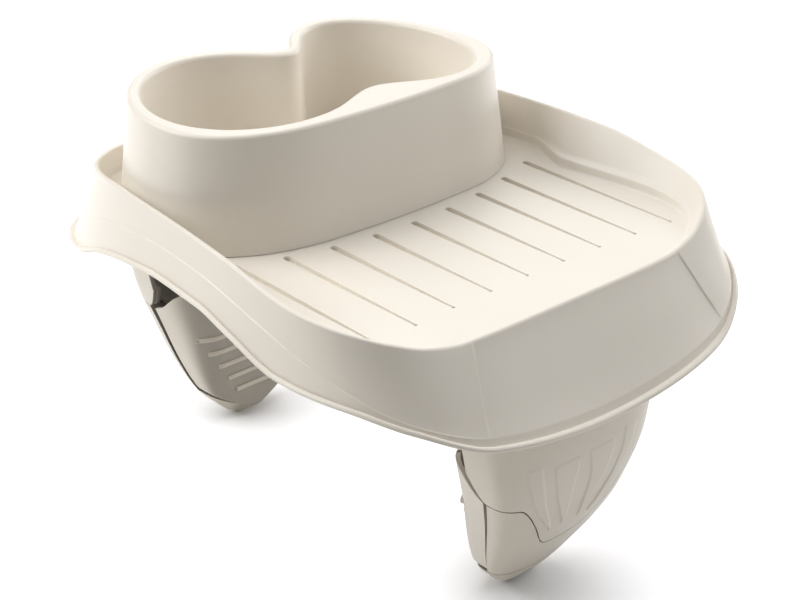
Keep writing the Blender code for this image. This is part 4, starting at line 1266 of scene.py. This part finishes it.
class HOLDER_OT_feet(bpy.types.Operator):
    """Moulds the two foot tips that close the legs"""

    bl_idname = "holder.feet"
    bl_label = "Build Foot Tips"

    def execute(self, context):
        near, far = (JAW_FACE_OUT + depth for depth in FOOT_PLUG_OUT)
        for side, turn in LEGS.items():
            foot = foot_body(turn)
            plugs = bmesh.new()
            for hand in (-1, 1):
                start = LUG_TO + GAP
                low, high = sorted((hand * start, hand * (start + FOOT_PLUG_THICK)))
                add_box(plugs, (low, near, FOOT_PLUG_Z[0]), (high, far, FOOT_PLUG_Z[1]))
            combine(
                foot,
                (solid("jaw_room", foot_room(), turn), "DIFFERENCE"),
                (solid("foot_plugs", plugs, turn), "UNION"),
            )
            foot.name = side + "_foot"
            finished(foot, "frame", "ivory_plastic", [side + "_foot_tip"])
        return {"FINISHED"}


def jaw_grid(legs, face_inset, rows):
    """The jaw's wall: a rounded U round the face, open towards the cover."""
    angles = [math.pi * (i / 110 - 0.5) for i in range(111)]
    made = []
    for share_up, inset, drop in rows:
        inset = face_inset + inset
        row = []
        for angle in angles:
            share = math.copysign(abs(math.sin(angle)) ** (2 / JAW_POWER), angle)
            bulge = min(max(math.cos(angle), 0.0) ** (2 / JAW_POWER) * JAW_FLAT, 1.0)
            top = JAW_TOP_BACK_Z + JAW_TOP_RISE * smooth(0.0, 0.85, bulge)
            top -= JAW_TOP_DIP * (1.0 - smooth(0.0, 0.9, abs(share))) if bulge > 0.9 else 0.0
            low = jaw_foot(share)
            z = low + (top - low) * share_up - drop
            back = jaw_back(z)
            face = JAW_FACE_OUT + inset
            narrow = JAW_NARROW * bulge * smooth(*JAW_NARROW_BETWEEN, z)
            half = (jaw_half_width(z) - inset) * (1.0 - narrow)
            row.append(Vector((half * share, back + (face - back) * bulge, z)))
        made.append(row)
    return made


def jaw_body(legs, turn):
    turned = legs.seam_round * 1.6
    rises = 60
    rows = [(0.0, turned, 0.0), (0.0, turned * 0.3, -turned * 0.3), (0.0, 0.0, -turned)]
    rows += [(i / rises, 0.0, 0.0) for i in range(1, rises)]
    rows += [(1.0, 0.0, turned), (1.0, turned * 0.3, turned * 0.3), (1.0, turned, 0.0)]
    inner = [(up, -inset, drop) for up, inset, drop in rows]
    mesh = bmesh.new()
    add_sheet(mesh, jaw_grid(legs, 0.0, rows), jaw_grid(legs, legs.skin, inner))
    return solid("jaw_body", mesh, turn)


def grip_painted_shade(legs, finish, middle, normal):
    """How much painted shade a spot on a jaw's outside takes: its grip face, and its ribs a little.
    """
    rib = round((middle.z - RIB_LOW_Z) / legs.rib_pitch)
    off = abs(middle.z - RIB_LOW_Z - rib * legs.rib_pitch)
    half = RIB_LOW_HALF + rib * legs.rib_growth
    if 0 <= rib < legs.ribs and off < legs.rib_radius and abs(middle.x) < half:
        return finish.grip_rib_shade
    # Painted shade on the faces that turn towards the gap between the legs
    return finish.grip_face_shade * smooth(0.1, 0.8, -normal.y)


class HOLDER_OT_jaws(bpy.types.Operator):
    """Moulds the two grip jaws with their knuckles and lays the ribs on their faces"""

    bl_idname = "holder.jaws"
    bl_label = "Build Grip Jaws"

    def execute(self, context):
        legs, finish = context.scene.holder_legs, context.scene.holder_finish
        ribs = rib_graph()
        for side, turn in LEGS.items():
            jaw = jaw_body(legs, turn)
            face = JAW_FACE_OUT + legs.skin
            left, right = on_axis(-KNUCKLE_HALF), on_axis(KNUCKLE_HALF)
            longer = Vector((0.002, 0, 0))
            web = bmesh.new()
            half = KNUCKLE_HALF - 0.0001
            add_box(
                web, (-half, JAW_FACE_OUT + legs.skin * 0.5, PIN_Z - KNUCKLE_WEB_HALF),
                (half, PIN_OUT, PIN_Z + KNUCKLE_WEB_HALF),
            )
            root = Vector((0, face - 0.0012, SPRING_Z))
            tip = Vector((0, face + SPRING_PEG_LENGTH, SPRING_Z))
            grip = solid("grip_ribs", bmesh.new())
            ribs.run(
                grip, Face=jaw, Material=plastic_material(), Count=legs.ribs,
                Towards=(turn.to_3x3() @ Vector((0, 1, 0))), Low=RIB_LOW_Z,
                Pitch=legs.rib_pitch, Half=RIB_LOW_HALF, Growth=legs.rib_growth,
                Radius=legs.rib_radius, Lift=legs.rib_radius - legs.rib_proud,
            )
            combine(
                jaw,
                (solid("knuckle_web", web, turn), "UNION"),
                (rod("knuckle", left, right, KNUCKLE_RADIUS, turn), "UNION"),
                (rod("pin_bore", left - longer, right + longer, PIN_RADIUS + GAP, turn),
                 "DIFFERENCE"),
                (rod("spring_peg", root, tip, SPRING_PEG_RADIUS, turn), "UNION"),
                (grip, "UNION"),
            )
            jaw.name = side + "_jaw_moulding"
            mark_painted_shade(jaw, turn, lambda *spot: grip_painted_shade(legs, finish, *spot))
            finished(jaw, side + "_jaw", "ivory_plastic", [side + "_grip_jaw"], 45.0)
        return {"FINISHED"}


# Steel pieces


class HOLDER_OT_hinges(bpy.types.Operator):
    """Turns the hinge pins and winds the springs behind the jaws"""

    bl_idname = "holder.hinges"
    bl_label = "Build Pins and Springs"

    def execute(self, context):
        legs = context.scene.holder_legs
        coil = spring_graph()
        for side, turn in LEGS.items():
            mesh = bmesh.new()
            add_rod(mesh, on_axis(-PIN_HALF_LENGTH), on_axis(PIN_HALF_LENGTH), (
                (0, PIN_RADIUS * 0.8), (0.012, PIN_RADIUS), (0.988, PIN_RADIUS),
                (1, PIN_RADIUS * 0.8),
            ))
            pin = solid(side + "_pin", mesh, turn)
            finished(pin, "frame", "steel", [side + "_jaw_pin"])
            start = JAW_FACE_OUT + legs.skin + SPRING_WIRE + GAP
            end = spring_seat(legs) - SPRING_WIRE - GAP
            spring = solid(side + "_spring", bmesh.new())
            coil.run(
                spring, Material=steel_material(), Turns=float(SPRING_TURNS),
                Radius=SPRING_RADIUS, Wire=SPRING_WIRE, Length=end - start,
                Start=(0, start, SPRING_Z),
            )
            spring.data.transform(turn)
            finished(spring, "frame", "steel", [side + "_jaw_spring"], 60.0)
        return {"FINISHED"}


def countersunk(grown, tip, below):
    """Section of a countersunk screw, or with grown of the hole that takes it."""
    whole = SCREW_HEAD + SCREW_LENGTH
    return (
        (-below / whole, SCREW_HEAD_RADIUS + grown), (0, SCREW_HEAD_RADIUS + grown),
        (COUNTERSUNK_HEAD / whole, SCREW_RADIUS + grown),
        (0.86, SCREW_RADIUS + grown), (1, tip),
    )


def add_countersunk(mesh, place, section, underside):
    low = place + Vector((0, 0, underside + COUNTERSUNK_BELOW))
    add_rod(mesh, low, low + Vector((0, 0, SCREW_HEAD + SCREW_LENGTH)), section)


def pan_head():
    """Section of a pan-head screw from the crown of its head to its tip."""
    whole = SCREW_HEAD + SCREW_LENGTH
    rise = SCREW_HEAD * 0.6
    crown = [
        (rise * (1 - math.cos(a)) / whole, SCREW_HEAD_RADIUS * (0.6 + 0.4 * math.sin(a)))
        for a in quarter()
    ]
    return (
        *crown, (SCREW_HEAD / whole, SCREW_HEAD_RADIUS), (SCREW_HEAD / whole, SCREW_RADIUS),
        (0.86, SCREW_RADIUS), (1, SCREW_RADIUS * 0.4),
    )


def screw_pattern(name, section):
    """One upright screw with a cross recess, its head's face at the origin."""
    mesh = bmesh.new()
    add_rod(mesh, Vector((0, 0, 0)), Vector((0, 0, SCREW_HEAD + SCREW_LENGTH)), section, 32)
    screw = solid(name, mesh)
    for reach_x, reach_y in ((1.0, 0.2), (0.2, 1.0)):
        x, y = (SCREW_HEAD_RADIUS * 0.55 * reach for reach in (reach_x, reach_y))
        slot = bmesh.new()
        add_box(slot, (-x, -y, -0.001), (x, y, SCREW_HEAD * 0.6))
        combine(screw, (solid("cross_recess", slot), "DIFFERENCE"))
    return screw


class HOLDER_OT_screws(bpy.types.Operator):
    """Sets the screws under the tray and under the legs' plates"""

    bl_idname = "holder.screws"
    bl_label = "Set Screws"

    def execute(self, context):
        scene = context.scene
        underside = FLOOR_Z - scene.holder_tray.skin
        sets = (
            ("well_screws", countersunk(0.0, SCREW_RADIUS * 0.4, 0.0)[1:],
             well_post_places(scene.holder_well), underside + COUNTERSUNK_BELOW, "well_screw_"),
            ("leg_screws", pan_head(), leg_screw_places(),
             PLATE_Z - PLATE_SKIN - GAP - SCREW_HEAD, "leg_screw_"),
        )
        graph = screw_graph()
        for name, section, places, low, node in sets:
            pattern = screw_pattern(name + "_pattern", section)
            points = bmesh.new()
            for place in places:
                points.verts.new(place + Vector((0, 0, low)))
            screws = solid(name, points)
            graph.run(screws, Screw=pattern, Material=steel_material())
            bpy.data.objects.remove(pattern)
            nodes = [f"{node}{i + 1}" for i in range(len(places))]
            finished(screws, "frame", "steel", nodes)
        return {"FINISHED"}


# Materials


class Surface(Nodes):
    """A material being built: its tree and its Principled shader."""

    def __init__(self, name):
        self.material = bpy.data.materials.new(name)
        self.material.use_nodes = True
        super().__init__(self.material.node_tree)
        self.place = self.node("ShaderNodeTexCoord", {}, {}, "Object")

    def shade(self, sockets):
        """Sets or feeds the shader's own sockets."""
        for name, value in sockets.items():
            self.feed(self.tree.nodes["Principled BSDF"].inputs[name], value)

    def noise(self, size, detail=2.0, offset=(0.0, 0.0, 0.0)):
        """Noise in object space whose features are about that size, in metres."""
        moved = self.node("ShaderNodeMapping", {}, {"Vector": self.place, "Location": offset})
        return self.node(
            "ShaderNodeTexNoise", {}, {"Vector": moved, "Scale": 1.0 / size, "Detail": detail}
        )

    def mixed(self, share, low, high):
        return self.node("ShaderNodeMix", {"data_type": "RGBA"}, {6: low, 7: high, 0: share}, 2)

    def colours(self, share, low, high):
        return self.mixed(share, (*low, 1.0), (*high, 1.0))

    def stepped(self, value, low, high):
        """A smooth step of a value from 0 at low to 1 at high."""
        return self.node(
            "ShaderNodeMapRange", {"interpolation_type": "SMOOTHSTEP"},
            {"Value": value, "From Min": low, "From Max": high},
        )

    def bump(self, height, depth):
        self.shade({"Normal": self.node(
            "ShaderNodeBump", {}, {"Height": height, "Distance": depth, "Strength": 1.0}
        )})


def plastic_material():
    """Satin moulded plastic: a fine spark-eroded grain, a faint cloudiness, and painted shade on
    marked faces.
    """
    found = bpy.data.materials.get("ivory_plastic_moulding")
    if found:
        return found
    finish = bpy.context.scene.holder_finish
    made = Surface("ivory_plastic_moulding")
    cloud = made.noise(0.045, 3.0)
    patches = made.noise(0.011, 2.0, (3.0, 1.0, 2.0))
    grain = made.noise(finish.grain_size, 2.0)
    low = [c * 0.975 for c in finish.plastic]
    high = [min(c * 1.02, 1.0) for c in finish.plastic]
    # Painted shade: faces marked in the inside attribute take this darker colour, standing in for
    # shade
    shaded = [c * finish.inside for c in finish.plastic]
    inside = made.node("ShaderNodeAttribute", {"attribute_name": "inside"}, {}, 2)
    made.shade({
        "Base Color": made.mixed(inside, made.colours(cloud, low, high), (*shaded, 1.0)),
        "Roughness": patches * 0.10 + (finish.plastic_rough - 0.05),
        "Specular IOR Level": 0.42,
        "Subsurface Weight": 0.04,
        "Subsurface Radius": (0.004, 0.003, 0.002),
    })
    made.bump(grain * 0.8 + patches * 0.2, finish.grain_depth)
    return made.material


def steel_material():
    """Plain zinc-plated steel with fine drawing lines."""
    found = bpy.data.materials.get("plated_steel")
    if found:
        return found
    finish = bpy.context.scene.holder_finish
    made = Surface("plated_steel")
    streaks = made.noise(0.0004, 3.0)
    cloud = made.noise(0.003, 2.0, (1.0, 4.0, 2.0))
    low = [c * 0.85 for c in finish.steel]
    made.shade({
        "Base Color": made.colours(cloud, low, finish.steel),
        "Roughness": streaks * 0.18 + 0.2,
        "Metallic": 1.0,
    })
    made.bump(streaks, 0.000012)
    return made.material


SLOTS = {"ivory_plastic": plastic_material, "steel": steel_material}


# Stage


WHITE = (1.0, 1.0, 1.0, 1.0)
BLACK = (0.0, 0.0, 0.0, 1.0)
FLOOR_HALF = 3.0
FLOOR_COLOUR = (0.87, 0.875, 0.89)
FLOOR_BOUNCE = (0.66, 0.64, 0.60)     # the floor's colour as the object's surfaces see it
FLOOR_GLOW = (0.62, 0.62, 0.64)
FLOOR_SHADE_REACH = 0.06
FLOOR_SHADE_FULL = 0.45               # how shut in the floor is where its glow ends
FLOOR_WHITE_BETWEEN = (0.5, 1.6)      # distances over which the glow rises to plain white
LAMPS = (                 # (name, bearing and height in degrees, distance, size, power)
    ("left_light", -132.0, 40.0, 1.4, (1.1, 1.1), 17.2),
    ("top_light", 180.0, 80.0, 1.5, (1.1, 1.1), 7.4),
    ("back_light", 130.0, 38.0, 1.4, (1.1, 1.1), 5.2),
    ("right_light", 85.0, 20.0, 1.4, (1.1, 0.7), 7.6),
    ("front_light", 48.0, 36.0, 1.4, (1.1, 1.1), 5.2),
    ("low_light", -45.0, 12.0, 1.4, (0.8, 0.5), 1.0),
)
LAMPS_AIM_Z = 0.1
WORLD_STRENGTH = 0.05


def floor_material():
    """White paper that glows to the camera, save close under the object, where the glow is cut to
    paint a contact shadow.
    """
    made = Surface("floor_paper")
    fibre = made.noise(0.017, 3.0)
    camera_ray = made.node("ShaderNodeLightPath", {}, {}, "Is Camera Ray")
    seen = camera_ray + made.node("ShaderNodeLightPath", {}, {}, "Is Glossy Ray")
    near = made.node(
        "ShaderNodeAmbientOcclusion", {"samples": 8}, {"Distance": FLOOR_SHADE_REACH}, 1
    )
    away = made.node("ShaderNodeVectorMath", {"operation": "LENGTH"}, {0: made.place}, 1)
    far = made.stepped(away, *FLOOR_WHITE_BETWEEN)
    glow = made.mixed(far, (*FLOOR_GLOW, 1.0), WHITE)
    # Painted shadow: the glow fades where the floor is shut in close under the object
    clear = seen * made.stepped(near, FLOOR_SHADE_FULL, 1.0)
    made.shade({
        "Base Color": made.colours(seen, FLOOR_BOUNCE, FLOOR_COLOUR),
        "Roughness": 0.9,
        "Emission Color": made.mixed(clear, BLACK, glow),
        "Emission Strength": 1.0,
    })
    made.bump(fibre, 0.0001)
    return made.material


class HOLDER_OT_stage(bpy.types.Operator):
    """Lays the floor and sets the lights and the camera"""

    bl_idname = "holder.stage"
    bl_label = "Set Stage"

    def execute(self, context):
        scene = context.scene
        add_floor(scene)
        add_world(scene)
        for lamp in LAMPS:
            add_light(*lamp)
        add_camera(scene, scene.holder_camera)
        scene.view_settings.view_transform = "Standard"
        return {"FINISHED"}


def add_floor(scene):
    mesh = bpy.data.meshes.new("floor")
    corners = [
        (x * FLOOR_HALF, y * FLOOR_HALF, 0) for x, y in ((-1, -1), (1, -1), (1, 1), (-1, 1))
    ]
    mesh.from_pydata(corners, [], [(0, 1, 2, 3)])
    floor = bpy.data.objects.new("floor", mesh)
    scene.collection.objects.link(floor)
    mesh.materials.append(floor_material())


def add_world(scene):
    world = bpy.data.worlds.new("studio")
    scene.world = world
    world.use_nodes = True
    made = Nodes(world.node_tree)
    made.tree.nodes.clear()
    light, backdrop = (
        made.node("ShaderNodeBackground", {}, {"Color": WHITE, "Strength": strength})
        for strength in (WORLD_STRENGTH, 1.0)
    )
    seen = made.node("ShaderNodeLightPath", {}, {}, "Is Camera Ray")
    chosen = made.node("ShaderNodeMixShader", {}, {0: seen, 1: light, 2: backdrop})
    made.feed(made.tree.nodes.new("ShaderNodeOutputWorld").inputs["Surface"], chosen)


def direction(bearing, height):
    """Unit vector by bearing, 0 at the open front edge, and height in degrees."""
    turn, lift = math.radians(bearing), math.radians(height)
    level = math.cos(lift)
    return Vector((math.sin(turn) * level, -math.cos(turn) * level, math.sin(lift)))


def add_light(name, bearing, height, distance, size, power):
    light = bpy.data.lights.new(name, "AREA")
    light.shape = "RECTANGLE"
    light.size, light.size_y = size
    light.energy = power
    made = bpy.data.objects.new(name, light)
    bpy.context.scene.collection.objects.link(made)
    away = direction(bearing, height)
    made.location = away * distance + Vector((0.0, 0.0, LAMPS_AIM_Z))
    made.rotation_euler = away.to_track_quat("Z", "Y").to_euler()


def add_camera(scene, view):
    back = direction(view.azimuth, view.elevation)
    azimuth, roll = math.radians(view.azimuth), math.radians(view.roll)
    level = Vector((math.cos(azimuth), math.sin(azimuth), 0.0))
    right = math.cos(roll) * level + math.sin(roll) * back.cross(level)
    up = back.cross(right)
    data = bpy.data.cameras.new("camera")
    data.sensor_width = 36.0
    data.lens = view.focal_px / IMAGE_WIDTH * data.sensor_width
    camera = bpy.data.objects.new("camera", data)
    scene.collection.objects.link(camera)
    turned = Matrix((right, up, back)).transposed().to_4x4()
    turned.translation = Vector(view.aim) + back * view.distance
    camera.matrix_world = turned
    scene.camera = camera


class HOLDER_PT_panel(bpy.types.Panel):
    bl_label = "Cup Holder"
    bl_space_type = "VIEW_3D"
    bl_region_type = "UI"
    bl_category = "Cup Holder"

    def draw(self, context):
        for operator in OPERATORS:
            self.layout.operator(operator.bl_idname)


GROUPS = {
    "holder_tray": HolderTray, "holder_well": HolderWell, "holder_legs": HolderLegs,
    "holder_finish": HolderFinish, "holder_camera": HolderCamera,
}
OPERATORS = (
    HOLDER_OT_tray, HOLDER_OT_well, HOLDER_OT_shells, HOLDER_OT_covers, HOLDER_OT_feet,
    HOLDER_OT_jaws, HOLDER_OT_hinges, HOLDER_OT_screws, HOLDER_OT_stage,
)


def register():
    for item in (*GROUPS.values(), *OPERATORS, HOLDER_PT_panel):
        bpy.utils.register_class(item)
    for name, group in GROUPS.items():
        setattr(bpy.types.Scene, name, bpy.props.PointerProperty(type=group))


def unregister():
    for name in GROUPS:
        delattr(bpy.types.Scene, name)
    for item in (HOLDER_PT_panel, *reversed(OPERATORS), *reversed(GROUPS.values())):
        bpy.utils.unregister_class(item)


def main():
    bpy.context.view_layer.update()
    register()
    bpy.ops.holder.tray()
    bpy.ops.holder.well()
    bpy.ops.holder.shells()
    bpy.ops.holder.covers()
    bpy.ops.holder.feet()
    bpy.ops.holder.jaws()
    bpy.ops.holder.hinges()
    bpy.ops.holder.screws()
    bpy.ops.holder.stage()


if __name__ == "__main__":
    main()
